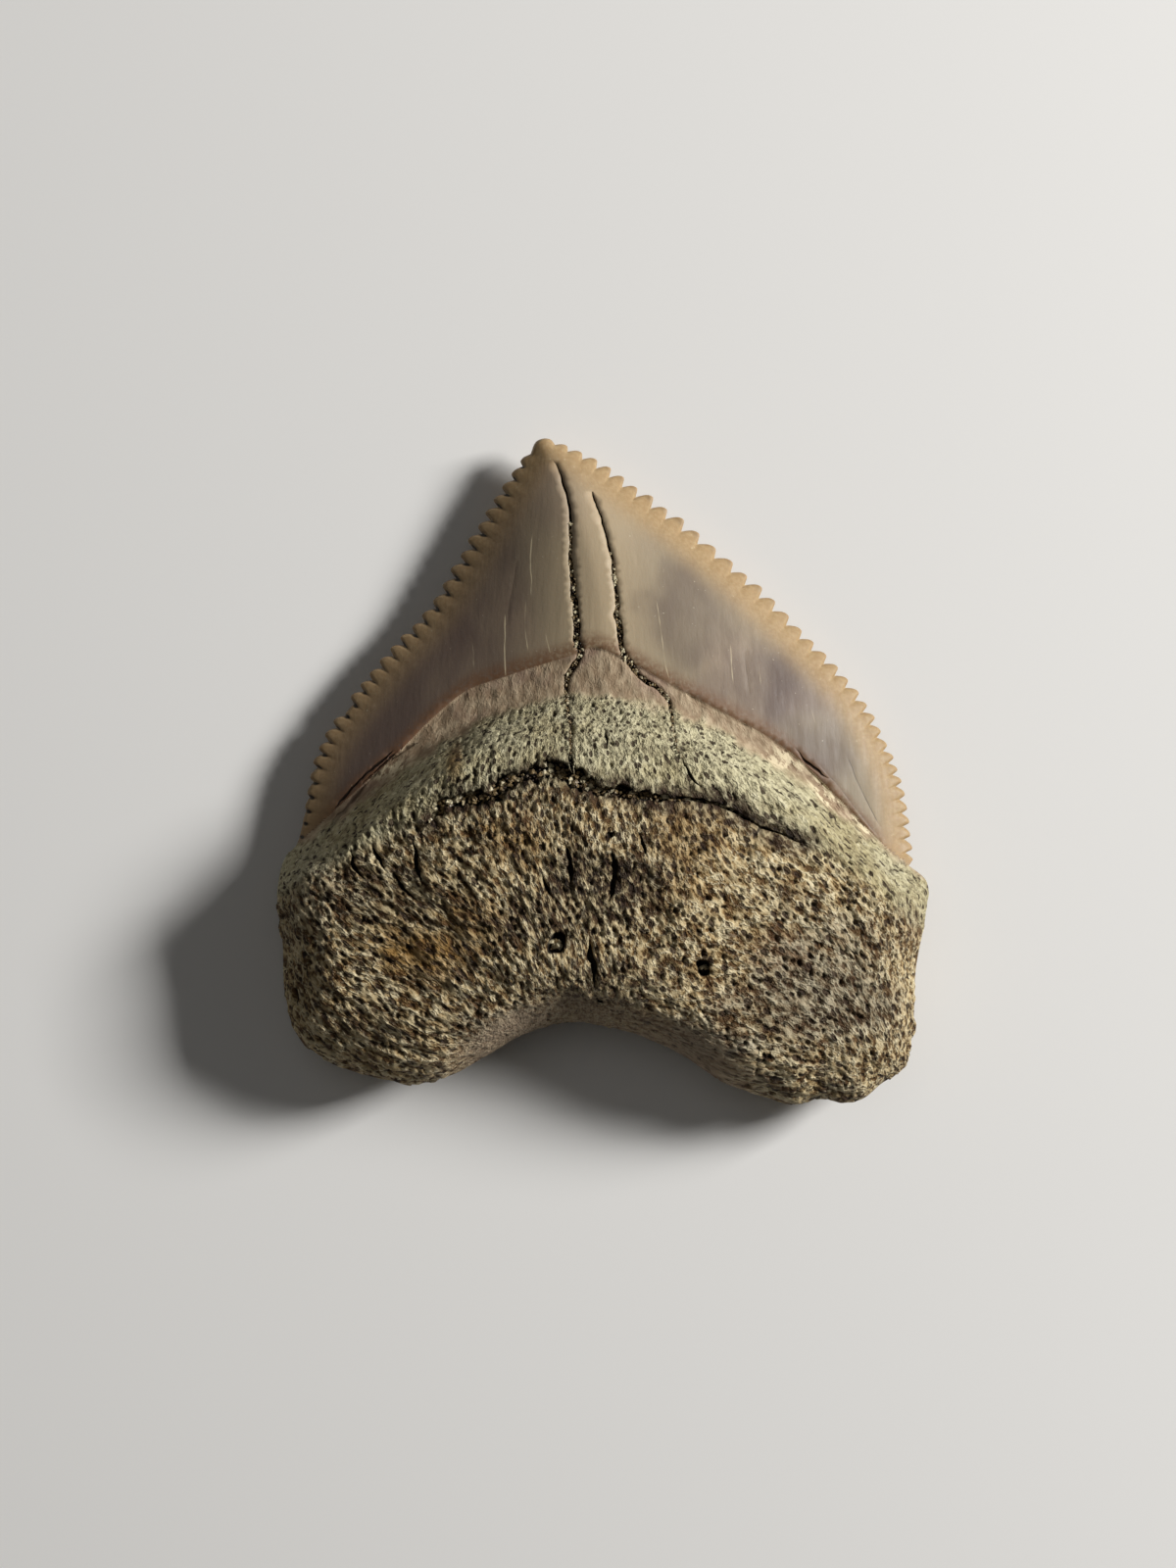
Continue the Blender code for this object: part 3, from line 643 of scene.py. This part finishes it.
x, y = plan.T
lingual = face_side >= 0
below_enamel = np.where(lingual, smooth_curve(ENAMEL_END, x), smooth_curve(LABIAL_BORDER, x)) - y
below_neck = np.where(lingual, smooth_curve(ROOT_TOP, x), smooth_curve(LABIAL_BORDER, x)) - y
enamel = (below_enamel < 0).astype(float)
porous = smooth_step(-0.2, 0.3, below_neck + 0.22 * drift(plan, 0.7, 50) + 0.1 * drift(plan, 0.25, 51))
margin = distance_to_line(plan, root_line)
grain = np.column_stack([grain_across(plan), y, height])

# ---------------- relief of the root
# Mineral replaced the bone's spongy mesh and left its vessel holes open: oval pores in the upper
# band, a finer and more broken sponge over the lobes, and a smooth worn margin at the fork.
PORE_SEED = 12
PIT_DEPTH = 0.2
PIT_CELL = 0.3
UPPER_BAND_END = [(-13.0, -5.0), (-7.0, -1.8), (-3.0, -0.3), (0.0, -0.7), (5.0, -1.5), (9.0, -3.4),
                  (13.0, -6.5)]


def vertex_normals(points, triangles):
    """Each point's normal, from the triangles round it."""
    a, b, c = (points[triangles[:, k]] for k in range(3))
    across = np.cross(b - a, c - a)
    normals = np.zeros_like(points)
    for k in range(3):
        np.add.at(normals, triangles[:, k], across)
    return normals / np.maximum(np.linalg.norm(normals, axis=1), 1e-12)[:, None]


normals = vertex_normals(points, triangles)
upper_band = smooth_step(-0.6, 0.4, y - smooth_curve(UPPER_BAND_END, x)) * lingual
fork_margin = (1 - smooth_step(0.5, 1.8, margin)) * smooth_step(7.5, 4.5, np.abs(x + 0.2)) * lingual
broad = 0.12 * drift(points, 2.6, 71) + 0.07 * drift(points, 1.1, 72)
broad += -0.3 * patches([(0.2, -5.6, 3.6, 3.0, 1.0)])
clump = 0.8 * drift(grain * [1.0, 0.55, 1.0], 0.3, 73) + 0.8 * drift(grain * [1.0, 0.6, 1.0], 0.16, 74)
rough = (0.085 - 0.045 * upper_band) * clump * (1 - 0.7 * fork_margin)
relief = porous * (broad * smooth_step(0.0, 1.0, below_neck) + rough)
relief += (1 - porous) * (1 - enamel) * 0.035 * drift(points * [1.0, 0.6, 1.0], 0.3, 75)

tree = KDTree(len(points))
for index, point in enumerate(points):
    tree.insert(point, index)
tree.balance()
draw = random.Random(PORE_SEED)
order = list(np.nonzero((porous > 0.35) & (hollow < 0.2))[0])
draw.shuffle(order)
pit = np.zeros(len(points))
taken = {}
for index in order:
    here = points[index]
    in_band = upper_band[index]
    spacing = 0.27 + 0.05 * in_band + 0.25 * fork_margin[index] + (0.1 if face_side[index] < 0 else 0.0)
    cell = tuple(np.floor(here / PIT_CELL).astype(int))
    neighbours = (
        other
        for shift in itertools.product((-1, 0, 1), repeat=3)
        for other in taken.get((cell[0] + shift[0], cell[1] + shift[1], cell[2] + shift[2]), ())
    )
    if any(np.sum((points[other] - here) ** 2) < spacing**2 for other in neighbours):
        continue
    taken.setdefault(cell, []).append(index)
    size = draw.uniform(0.0, 1.0) ** 1.7
    wide = 0.045 + 0.05 * size
    long = wide * draw.uniform(1.3, 3.2 - 1.0 * (1 - in_band))
    deep = wide * draw.uniform(1.0, 1.8)
    normal = normals[index]
    angle = float(lean(np.array([here[0]]), np.array([here[1]]))[0]) + draw.gauss(0.0, 0.3)
    along = np.array([math.sin(angle), -math.cos(angle), 0.0])
    along -= normal * (along @ normal)
    along /= max(np.linalg.norm(along), 1e-6)
    side = np.cross(normal, along)
    found = np.array([entry[1] for entry in tree.find_range(here, long * 1.3)])
    gap = points[found] - here
    bend = 1 + 0.3 * drift(points[found], 0.12, 81)
    reach = np.sqrt((gap @ side / wide) ** 2 + (gap @ along / long) ** 2) * bend
    pit[found] = np.maximum(pit[found], (1 - smooth_step(0.5, 1.15, reach)) * deep / PIT_DEPTH)
relief -= PIT_DEPTH * pit * porous * (1 - 0.55 * fork_margin)
points = points + normals * (relief * (face_side != 0))[:, None]
points[:, 2] -= drop
resting = (face_side < 0) & (points[:, 2] < 0.0)
points[resting, 2] = 0.0

mesh = bpy.data.meshes.new("tooth_skin")
mesh.from_pydata([tuple(p * MM) for p in points], [], triangles.tolist())
mesh.update()
tooth = bpy.data.objects.new("tooth_skin", mesh)
bpy.context.scene.collection.objects.link(tooth)
mesh.shade_smooth()


def mark(name, values):
    """Stores a value on every point of the tooth for its materials to read."""
    kind = "FLOAT" if values.ndim == 1 else "FLOAT_VECTOR"
    field = "value" if values.ndim == 1 else "vector"
    layer = mesh.attributes.new(name, kind, "POINT")
    layer.data.foreach_set(field, values.astype(np.float32).ravel())


cutting_edges = np.concatenate([left_line, tip_line[-3:] - centre, right_line[::-1]])
edge_glow = 1 - smooth_step(-0.1, 1.8, distance_to_line(plan, cutting_edges))
clouding = patches([(3.6, 6.2, 2.2, 2.6, 0.8), (6.4, 3.6, 3.0, 1.6, 0.9), (9.0, 0.6, 1.6, 1.4, 0.6)])
from_cleft = distance_to_line(plan, np.array(CLEFT)) + 0.2 * drift(plan, 0.5, 64)
mark("strip", np.exp(-(((x + 0.1 + 0.05 * (y - 9)) / 1.9) ** 2)) * enamel)
# The crown's left flank is painted darker as shade; the clouding patches are the enamel's own darker tone.
mark("mauve", np.maximum(smooth_step(-1.2, -4.5, x), clouding) * enamel)
mark("grain", grain)
mark("porous", porous)
mark("pit", np.clip(pit * porous, 0.0, 1.0))
# Painted shade: cracks, slits and foramina darkened by how hollow they are, with the notches' dirt and
# shade.
mark("hollow", np.clip(np.maximum(hollow, dirt_and_shade), 0.0, 1.0))
mark("line", line_mark)
# The honey is a quarter weaker over the left flank: painted shade.
mark("edge", edge_glow * enamel * (1 - 0.25 * smooth_step(-1.0, -6.0, x)))
mark("neck", smooth_step(-1.3, 0.05, below_enamel) * lingual)
mark("upper", upper_band)
mark("margin", fork_margin)
# Darker in and along the cleft: staining, and painted shade of the deep cleft.
mark("stain", (1 - smooth_step(0.2, 0.9, from_cleft)) * lingual)
for name, spots in (
    ("ochre", [(-7.4, -7.4, 2.4, 1.3, 1.0), (-5.0, -6.0, 1.5, 1.2, 0.6), (-3.4, -2.9, 1.6, 1.2, 0.7),
               (3.6, -2.6, 2.8, 1.4, 0.6), (3.2, -4.6, 1.4, 1.0, 0.4), (-5.9, 0.3, 0.5, 0.9, 0.8)]),
    ("rust", [(7.0, -7.2, 1.6, 1.2, 0.9), (4.9, -9.0, 1.3, 0.9, 0.6), (-3.1, -1.7, 0.9, 1.3, 0.6),
              (12.4, -6.2, 0.8, 1.6, 0.5), (-6.6, -8.6, 1.2, 0.7, 0.5), (11.2, -7.0, 1.0, 1.0, 0.4),
              (-5.8, 0.7, 0.25, 0.6, 0.9)]),
    ("chips", [(9.2, -0.9, 1.1, 1.3, 1.0), (7.4, 0.3, 1.0, 0.6, 0.7), (10.4, -2.3, 0.9, 0.9, 0.9),
               (-9.0, 0.1, 1.4, 0.5, 0.7)]),
    ("soot", [(0.3, -4.6, 3.4, 2.2, 1.0), (-2.8, -6.0, 2.6, 1.4, 0.7), (8.6, -9.2, 3.0, 2.0, 0.6),
              (-8.6, -4.6, 2.4, 1.5, 0.6), (1.0, -8.3, 2.6, 1.0, 0.6), (-9.0, -10.2, 2.6, 1.0, 0.5),
              (2.2, -2.6, 3.0, 0.9, 0.4)]),
    ("grey", [(8.8, -8.8, 4.0, 4.0, 0.8), (4.6, -10.9, 3.0, 1.0, 0.9), (-4.0, -10.2, 3.0, 0.9, 0.7),
              (-11.5, -5.0, 1.6, 2.5, 0.5)]),
):
    mark(name, patches(spots))

# ---------------- enamel and bone
# Fossil enamel is a hard, glassy apatite: satin, finely grooved along the tooth, honey-coloured and
# slightly see-through at the serrations. The root is matt, mineral-stained apatite bone.


def tone(code):
    """An sRGB hex colour as linear values."""
    parts = [int(code[k : k + 2], 16) / 255 for k in (1, 3, 5)]
    return tuple(p / 12.92 if p <= 0.04045 else ((p + 0.055) / 1.055) ** 2.4 for p in parts) + (1.0,)


def add(tree, kind, settings, inputs, output=0):
    """Adds a node, sets it, gives each input a value or a link, and returns one of its outputs."""
    node = tree.nodes.new(kind)
    for name, value in settings.items():
        setattr(node, name, value)
    for name, value in inputs.items():
        if isinstance(value, bpy.types.NodeSocket):
            tree.links.new(value, node.inputs[name])
        else:
            node.inputs[name].default_value = value
    return node.outputs[output]


MATH, STEP, MIX, NOISE, CELLS, MAPPING, MARK = (
    "ShaderNode" + kind for kind in "Math MapRange Mix TexNoise TexVoronoi Mapping Attribute".split()
)
PLUS, MINUS, TIMES = ({"operation": name} for name in ("ADD", "SUBTRACT", "MULTIPLY"))
SOFT = {"interpolation_type": "SMOOTHSTEP"}
STEP_INPUTS = ("Value", "From Min", "From Max", "To Min", "To Max")
NOISE_INPUTS = ("Vector", "Scale", "Detail", "Roughness")
NOISE_FEATURE = 0.5  # a noise's features are this share of one over its scale, in millimetres
PER_MM = (1 / MM, 1 / MM, 1 / MM)


def paint(tree, colour, layers):
    """Lays colours over a first one. Each covers its mark, times a number or a soft step of a pattern."""
    for covered, strength, layer in layers:
        if isinstance(strength, tuple):
            strength = add(tree, STEP, SOFT, dict(zip(STEP_INPUTS, strength)))
        share = add(tree, MATH, TIMES, {0: covered, 1: strength})
        over = tone(layer) if isinstance(layer, str) else layer
        colour = add(tree, MIX, {"data_type": "RGBA"}, {0: share, 6: colour, 7: over}, 2)
    return colour


# Root bone: cream where clean, brown and black where iron and humus soaked into the sponge. Its vessel
# holes are drawn at three sizes, and the sponge's pale struts stand out of the dark between them. Its
# cracks, slits and foramina are painted near black as shade, and the cleft darker as staining and shade.
bone = bpy.data.materials.new("root bone, apatite, porous and stained")
bone.use_nodes = True
tree = bone.node_tree
porous_here, pit_here, hollow_shade_here, upper_here, margin_here, soot, grey, ochre, rust, chips, stain = (
    add(tree, MARK, {"attribute_name": name}, {}, "Fac")
    for name in "porous pit hollow upper margin soot grey ochre rust chips stain".split()
)
grain_place = add(tree, MARK, {"attribute_name": "grain"}, {}, "Vector")
pore_place, strut_place = (
    add(tree, MAPPING, {}, {"Vector": grain_place, "Scale": (1.0, along, 1.0)}) for along in (0.42, 0.6)
)
clouds, mottle, fine_mottle, mesh_noise = (
    add(tree, NOISE, {}, dict(zip(NOISE_INPUTS, (place, NOISE_FEATURE / size, detail, roughness))))
    for place, size, detail, roughness in (
        (grain_place, 1.6, 4.0, 0.55), (pore_place, 0.12, 4.0, 0.66), (pore_place, 0.07, 3.0, 0.6),
        (strut_place, 0.26, 3.0, 0.6),
    )
)
bent = add(tree, MATH, TIMES, {0: fine_mottle, 1: 0.5})
wide_cells, small_cells = (
    add(tree, CELLS, {}, {"Vector": pore_place, "Scale": 1 / size}, "Distance") for size in (0.25, 0.14)
)
wide_bent, small_bent = (add(tree, MATH, PLUS, {0: cells, 1: bent}) for cells in (wide_cells, small_cells))
from_middle = add(tree, MATH, MINUS, {0: mesh_noise, 1: 0.5})
from_strut = add(tree, MATH, {"operation": "ABSOLUTE"}, {0: from_middle})
wide_pores, small_pores, sponge_holes, struts, relief_here = (
    add(tree, STEP, SOFT, dict(zip(STEP_INPUTS, step))) for step in (
        (wide_bent, 0.46, 0.56, 1.0, 0.0), (small_bent, 0.48, 0.6, 1.0, 0.0),
        (mottle, 0.38, 0.48, 1.0, 0.0), (from_strut, 0.0, 0.045, 1.0, 0.0),
        (porous_here, 0.0, 1.0, 0.25, 1.0),
    )
)
less_at_margin, fewer_small, fewer_sponge = (
    add(tree, MATH, MINUS, {0: 1.0, 1: add(tree, MATH, TIMES, {0: covered, 1: share})})
    for covered, share in ((margin_here, 0.55), (upper_here, 0.45), (upper_here, 0.6))
)
open_bone = add(tree, MATH, TIMES, {0: porous_here, 1: less_at_margin})
dark_wide, small_open, sponge_open = (
    add(tree, MATH, TIMES, {0: holes, 1: open_bone}) for holes in (wide_pores, small_pores, sponge_holes)
)
dark_small = add(tree, MATH, TIMES, {0: small_open, 1: fewer_small})
dark_sponge = add(tree, MATH, TIMES, {0: sponge_open, 1: fewer_sponge})

clean = paint(tree, tone("#b9b18f"), [
    (1.0, (clouds, 0.35, 0.65), "#a1956f"),
    (1.0, (mottle, 0.5, 0.75, 0.0, 0.8), "#d0c8a8"),
])
lower = paint(tree, tone("#80612f"), [
    (1.0, (mottle, 0.38, 0.62), "#bdab84"),
    (struts, 0.7, "#d6c9a6"),
])
neck_tone = paint(tree, tone("#8a755c"), [
    (1.0, (mottle, 0.4, 0.65), "#a8957a"),
    (1.0, (clouds, 0.5, 0.66, 0.0, 0.45), "#866a60"),
    (chips, (mottle, 0.46, 0.56), "#d3c4a2"),
    (chips, (fine_mottle, 0.42, 0.36), "#4a3018"),
])
body = paint(tree, lower, [
    (upper_here, 1.0, clean),
    (grey, (mottle, 0.35, 0.65, 0.25, 0.8), "#8c8473"),
    (ochre, (clouds, 0.3, 0.6, 0.35, 0.8), "#8a6426"),
    (rust, (mottle, 0.35, 0.6, 0.9, 0.2), "#5e371a"),
    (margin_here, (clouds, 0.35, 0.6, 0.4, 0.8), "#94806a"),
])
body = paint(tree, neck_tone, [
    (porous_here, 1.0, body),
    (dark_sponge, 0.8, "#4a3016"),
    (soot, (mottle, 0.42, 0.62, 0.95, 0.15), "#2a1a0b"),
    # Darkened along the cleft: staining and painted shade.
    (stain, (mottle, 0.42, 0.64, 1.0, 0.4), "#301d0c"),
    (dark_small, 0.8, "#432c12"),
    (dark_wide, 0.9, "#301e0c"),
    (1.0, (pit_here, 0.15, 0.75, 0.0, 0.92), "#24160a"),
    # Painted shade: near black down the walls and floors of cracks, slits and foramina, half as dark in
    # furrows.
    (1.0, (hollow_shade_here, 0.2, 0.9, 0.0, 0.97), "#120b05"),
])
lumps = 0.0
for pattern, amount in ((mottle, 2.2), (dark_wide, -1.0), (dark_small, -0.6), (dark_sponge, -0.6),
                        (struts, 0.35), (fine_mottle, 0.6)):
    lumps = add(tree, MATH, PLUS, {0: lumps, 1: add(tree, MATH, TIMES, {0: pattern, 1: amount})})
lumps = add(tree, MATH, TIMES, {0: lumps, 1: relief_here})
shader = tree.nodes["Principled BSDF"]
shader.inputs["Roughness"].default_value = 0.75
shader.inputs["Specular IOR Level"].default_value = 0.3
bump = add(tree, "ShaderNodeBump", {}, {"Strength": 1.0, "Distance": 0.1 * MM, "Height": lumps})
tree.links.new(body, shader.inputs["Base Color"])
tree.links.new(bump, shader.inputs["Normal"])

# Enamel: purplish grey over the dentine, honey along the cutting edges, rusty above its lower end. Its
# left flank and the honey there are painted darker as shade, its cracks near black as shade, and its
# notches dark as dirt and shade. It grew in long prisms, so its faint streaks run down the tooth.
glaze = bpy.data.materials.new("fossil enamel, satin apatite")
glaze.use_nodes = True
tree = glaze.node_tree
edge_here, neck_here, line_here, hollow_shade_and_dirt_here, strip, mauve = (
    add(tree, MARK, {"attribute_name": name}, {}, "Fac")
    for name in "edge neck line hollow strip mauve".split()
)
object_place = add(tree, "ShaderNodeTexCoord", {}, {}, "Object")
place_mm = add(tree, MAPPING, {}, {"Vector": object_place, "Scale": PER_MM})
streak_place, cloud_place = (
    add(tree, MAPPING, {}, {"Vector": place_mm, "Scale": (1.0, along, 1.0)}) for along in (0.07, 0.45)
)
clouds, warm_clouds, streaks, fine_streaks, speckle = (
    add(tree, NOISE, {}, dict(zip(NOISE_INPUTS, (place, NOISE_FEATURE / size, detail, roughness))))
    for place, size, detail, roughness in (
        (cloud_place, 2.2, 3.0, 0.55), (place_mm, 3.4, 2.0, 0.55), (streak_place, 0.2, 4.0, 0.62),
        (streak_place, 0.07, 2.0, 0.55), (place_mm, 0.09, 3.0, 0.6),
    )
)
near_neck, satin = (
    add(tree, STEP, SOFT, dict(zip(STEP_INPUTS, step)))
    for step in ((neck_here, 0.2, 1.0), (streaks, 0.3, 0.7, 0.5, 0.62))
)
healed_line = add(tree, MATH, TIMES, {0: line_here, 1: -1.0})
honey = paint(tree, tone("#967b55"), [(1.0, (speckle, 0.3, 0.75), "#a48b65")])
enamel_tone = paint(tree, tone("#92806a"), [
    (1.0, (clouds, 0.38, 0.62), "#746459"),
    (1.0, (streaks, 0.35, 0.7, 0.0, 0.4), "#67584e"),
    (1.0, (warm_clouds, 0.45, 0.65, 0.0, 0.5), "#8f8467"),
    (strip, 0.75, "#b39f80"),
    # Darker enamel: its own clouded patches, and painted shade over the left flank.
    (mauve, (clouds, 0.3, 0.6, 0.55, 0.85), "#54453d"),
    (near_neck, (speckle, 0.3, 0.6, 0.35, 0.85), "#6a4a30"),
    (1.0, (edge_here, 0.0, 1.0, 0.0, 0.95), honey),
    (1.0, (line_here, 0.02, 0.45, 0.0, 0.85), "#33271c"),
    (1.0, (healed_line, 0.02, 0.45, 0.0, 0.85), "#c3b494"),
    (1.0, (speckle, 0.7, 0.76, 0.0, 0.5), "#c6bba4"),
    # Painted shade near black in the crown's cracks, with dirt and painted shade in the notches.
    (1.0, (hollow_shade_and_dirt_here, 0.12, 0.6, 0.0, 0.97), "#170e06"),
])
grooves = streaks
for pattern in (fine_streaks, speckle):
    grooves = add(tree, MATH, PLUS, {0: grooves, 1: add(tree, MATH, TIMES, {0: pattern, 1: 0.3})})
shader = tree.nodes["Principled BSDF"]
shader.inputs["Specular IOR Level"].default_value = 0.32
shader.inputs["Subsurface Weight"].default_value = 0.1
shader.inputs["Subsurface Radius"].default_value = (1.0, 0.6, 0.35)
shader.inputs["Subsurface Scale"].default_value = 0.3 * MM
bump = add(tree, "ShaderNodeBump", {}, {"Strength": 0.5, "Distance": 0.03 * MM, "Height": grooves})
for source, socket in ((enamel_tone, "Base Color"), (satin, "Roughness"), (bump, "Normal")):
    tree.links.new(source, shader.inputs[socket])

mesh.materials.append(glaze)
mesh.materials.append(bone)
on_bone = (enamel[triangles].mean(axis=1) < 0.5).astype(np.int32)
mesh.polygons.foreach_set("material_index", on_bone)
mesh.update()
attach(tooth, "root")
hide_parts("tooth")

# ---------------- sediment in the cracks and the cleft
# Quartz sand and crumbs of the tooth's own bone were washed into its cracks and set there: angular
# grains from pale to dark brown, smaller in the crown's cracks and larger in the root's cleft.
GRAIN_SEED = 5


def lumpy_grain(name, seed):
    """One angular grain, of a few dozen faces."""
    draw_grain = random.Random(seed)
    mesh_data = bmesh.new()
    bmesh.ops.create_uvsphere(mesh_data, u_segments=6, v_segments=5, radius=0.5)
    for vert in mesh_data.verts:
        vert.co *= draw_grain.uniform(0.55, 1.2)
    grain_mesh = bpy.data.meshes.new(name)
    mesh_data.to_mesh(grain_mesh)
    mesh_data.free()
    return bpy.data.objects.new(name, grain_mesh)


def bed_mesh(name, in_cleft, level):
    """Strips along the cracks, `level` of the way down, for the grains to lie on."""
    verts, faces = [], []
    for line, half_widths, depth, of_cleft in beds:
        if of_cleft != in_cleft:
            continue
        side = sideways(line)
        first = len(verts)
        for sign in (-1, 1):
            edge_line = line + side * (sign * 0.9 * half_widths)[:, None]
            z = lingual_height(edge_line) - depth * (level + 0.25 * drift(edge_line, 0.35, 500))
            verts += [(px * MM, py * MM, pz * MM) for (px, py), pz in zip(edge_line, z)]
        n = len(line)
        faces += [(first + k, first + k + 1, first + n + k + 1, first + n + k) for k in range(n - 1)]
    strip_mesh = bpy.data.meshes.new(name)
    strip_mesh.from_pydata(verts, [], faces)
    strip = bpy.data.objects.new(name, strip_mesh)
    bpy.context.scene.collection.objects.link(strip)
    return strip


def grain_tree():
    """Scatters turned and stretched grains over the bed, each with its own shade."""
    tree = bpy.data.node_groups.new("scatter grains", "GeometryNodeTree")
    for name, kind in (("Geometry", "Geometry"), ("Grain", "Object"), ("Spacing", "Float"),
                       ("Smallest", "Float"), ("Largest", "Float"), ("Seed", "Int"),
                       ("Material", "Material")):
        tree.interface.new_socket(name, in_out="INPUT", socket_type="NodeSocket" + kind)
    tree.interface.new_socket("Geometry", in_out="OUTPUT", socket_type="NodeSocketGeometry")
    given = tree.nodes.new("NodeGroupInput").outputs
    seed = given["Seed"]
    drawn = "FunctionNodeRandomValue"
    vector = {"data_type": "FLOAT_VECTOR"}
    number = {"data_type": "FLOAT"}
    places = add(tree, "GeometryNodeDistributePointsOnFaces", {"distribute_method": "POISSON"}, {
        "Mesh": given["Geometry"], "Distance Min": given["Spacing"], "Density Max": 1e9, "Seed": seed})
    grain = add(tree, "GeometryNodeObjectInfo", {}, {"Object": given["Grain"]}, "Geometry")
    turn = add(tree, drawn, vector, {1: (math.tau, math.tau, math.tau), "Seed": seed})
    stretch = add(tree, drawn, vector, {0: (0.5, 0.5, 0.5), 1: (1.4, 1.4, 1.4), "Seed": seed})
    size = add(tree, drawn, number, {2: given["Smallest"], 3: given["Largest"], "Seed": seed}, 1)
    shade = add(tree, drawn, number, {"Seed": seed}, 1)
    scale = add(tree, "ShaderNodeVectorMath", {"operation": "SCALE"}, {0: stretch, "Scale": size})
    grains = add(tree, "GeometryNodeInstanceOnPoints", {}, {
        "Points": places, "Instance": grain, "Rotation": turn, "Scale": scale})
    grains = add(tree, "GeometryNodeStoreNamedAttribute", {"data_type": "FLOAT", "domain": "INSTANCE"}, {
        "Geometry": grains, "Name": "shade", "Value": shade})
    grains = add(tree, "GeometryNodeRealizeInstances", {}, {"Geometry": grains})
    grains = add(tree, "GeometryNodeSetMaterial", {}, {"Geometry": grains, "Material": given["Material"]})
    tree.links.new(grains, tree.nodes.new("NodeGroupOutput").inputs[0])
    return tree


sand = bpy.data.materials.new("sediment grains, quartz and bone crumbs")
sand.use_nodes = True
tree = sand.node_tree
grain_shade = add(tree, MARK, {"attribute_name": "shade"}, {}, "Fac")
object_place = add(tree, "ShaderNodeTexCoord", {}, {}, "Object")
place_mm = add(tree, MAPPING, {}, {"Vector": object_place, "Scale": PER_MM})
crust = add(tree, NOISE, {}, dict(zip(NOISE_INPUTS, (place_mm, NOISE_FEATURE / 0.06, 2.0, 0.55))))
sand_tone = paint(tree, tone("#332110"), [
    (1.0, (grain_shade, 0.2, 0.6), "#85704c"),
    (1.0, (grain_shade, 0.72, 0.95), "#cfc3a0"),
    (1.0, (crust, 0.35, 0.6, 0.6, 0.0), "#2e1e0e"),
])
tree.links.new(sand_tone, tree.nodes["Principled BSDF"].inputs["Base Color"])
tree.nodes["Principled BSDF"].inputs["Roughness"].default_value = 0.5

scatter = grain_tree()
sockets = {item.name: item.identifier for item in scatter.interface.items_tree if item.in_out == "INPUT"}
grain_shape = lumpy_grain("grain", GRAIN_SEED)
for name, in_cleft, level, spacing, smallest, largest in (
    ("sediment_in_crown_cracks", False, 0.2, 0.075, 0.04, 0.16),
    ("sediment_in_root_cleft", True, 0.6, 0.15, 0.07, 0.32),
):
    bed = bed_mesh(name, in_cleft, level)
    layer = bed.modifiers.new("grains", "NODES")
    layer.node_group = scatter
    for socket, value in (("Grain", grain_shape), ("Spacing", spacing * MM), ("Smallest", smallest * MM),
                          ("Largest", largest * MM), ("Seed", GRAIN_SEED), ("Material", sand)):
        layer[sockets[socket]] = value
    bed.update_tag()
    bpy.context.view_layer.update()
    grown = bpy.data.meshes.new_from_object(bed.evaluated_get(bpy.context.evaluated_depsgraph_get()))
    bed.modifiers.remove(layer)
    bed.data = grown
    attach(bed, "root")
bpy.data.objects.remove(grain_shape)

# ---------------- floor, light and camera
# A pale sheet under the tooth, one soft key light low on its right, a weak fill, and a camera that
# looks straight down on it with the tip up.
FLOOR_SIZE = 1.2
floor_mesh = bpy.data.meshes.new("floor")
half = FLOOR_SIZE / 2
corners = [(-half, -half, 0), (half, -half, 0), (half, half, 0), (-half, half, 0)]
floor_mesh.from_pydata(corners, [], [(0, 1, 2, 3)])
floor = bpy.data.objects.new("floor", floor_mesh)
bpy.context.scene.collection.objects.link(floor)
paper = bpy.data.materials.new("matt paper")
paper.use_nodes = True
shader = paper.node_tree.nodes["Principled BSDF"]
shader.inputs["Base Color"].default_value = tone("#e6e4e0")
shader.inputs["Roughness"].default_value = 0.9
floor_mesh.materials.append(paper)

# Each softbox: its place and width in metres and its power in watts. It faces the tooth.
for name, place, size, power in (
    ("key", (0.332, 0.121, 0.19), 0.11, 2.6),
    ("fill", (-0.10, 0.1, 0.40), 0.3, 0.1),
):
    light = bpy.data.lights.new(name, "AREA")
    light.shape = "SQUARE"
    light.size = size
    light.energy = power
    lamp = bpy.data.objects.new(name, light)
    lamp.location = place
    lamp.rotation_euler = (-Vector(place)).to_track_quat("-Z", "Y").to_euler()
    bpy.context.scene.collection.objects.link(lamp)
world = bpy.data.worlds.new("studio")
world.use_nodes = True
background = world.node_tree.nodes["Background"]
background.inputs["Color"].default_value = tone("#e4e2df")
background.inputs["Strength"].default_value = 0.06
bpy.context.scene.world = world
bpy.context.scene.view_settings.view_transform = "Standard"

PICTURE_WIDTH = 1200
PICTURE_HEIGHT = 1600
PIXELS_PER_MM = 25.0
TOOTH_CENTRE_IN_PICTURE = (615.0, 785.5)
LENS = 100.0
SENSOR = 36.0
SILHOUETTE_HEIGHT = 1.8 * MM
camera_data = bpy.data.cameras.new("camera")
camera_data.lens = LENS
camera_data.sensor_width = SENSOR
camera = bpy.data.objects.new("camera", camera_data)
frame_height = PICTURE_HEIGHT / PIXELS_PER_MM * MM
camera.location = (
    (PICTURE_WIDTH / 2 - TOOTH_CENTRE_IN_PICTURE[0]) / PIXELS_PER_MM * MM,
    (TOOTH_CENTRE_IN_PICTURE[1] - PICTURE_HEIGHT / 2) / PIXELS_PER_MM * MM,
    SILHOUETTE_HEIGHT + frame_height * LENS / SENSOR,
)
camera_data.clip_start = 0.01
camera_data.clip_end = 5.0
bpy.context.scene.collection.objects.link(camera)
bpy.context.scene.camera = camera
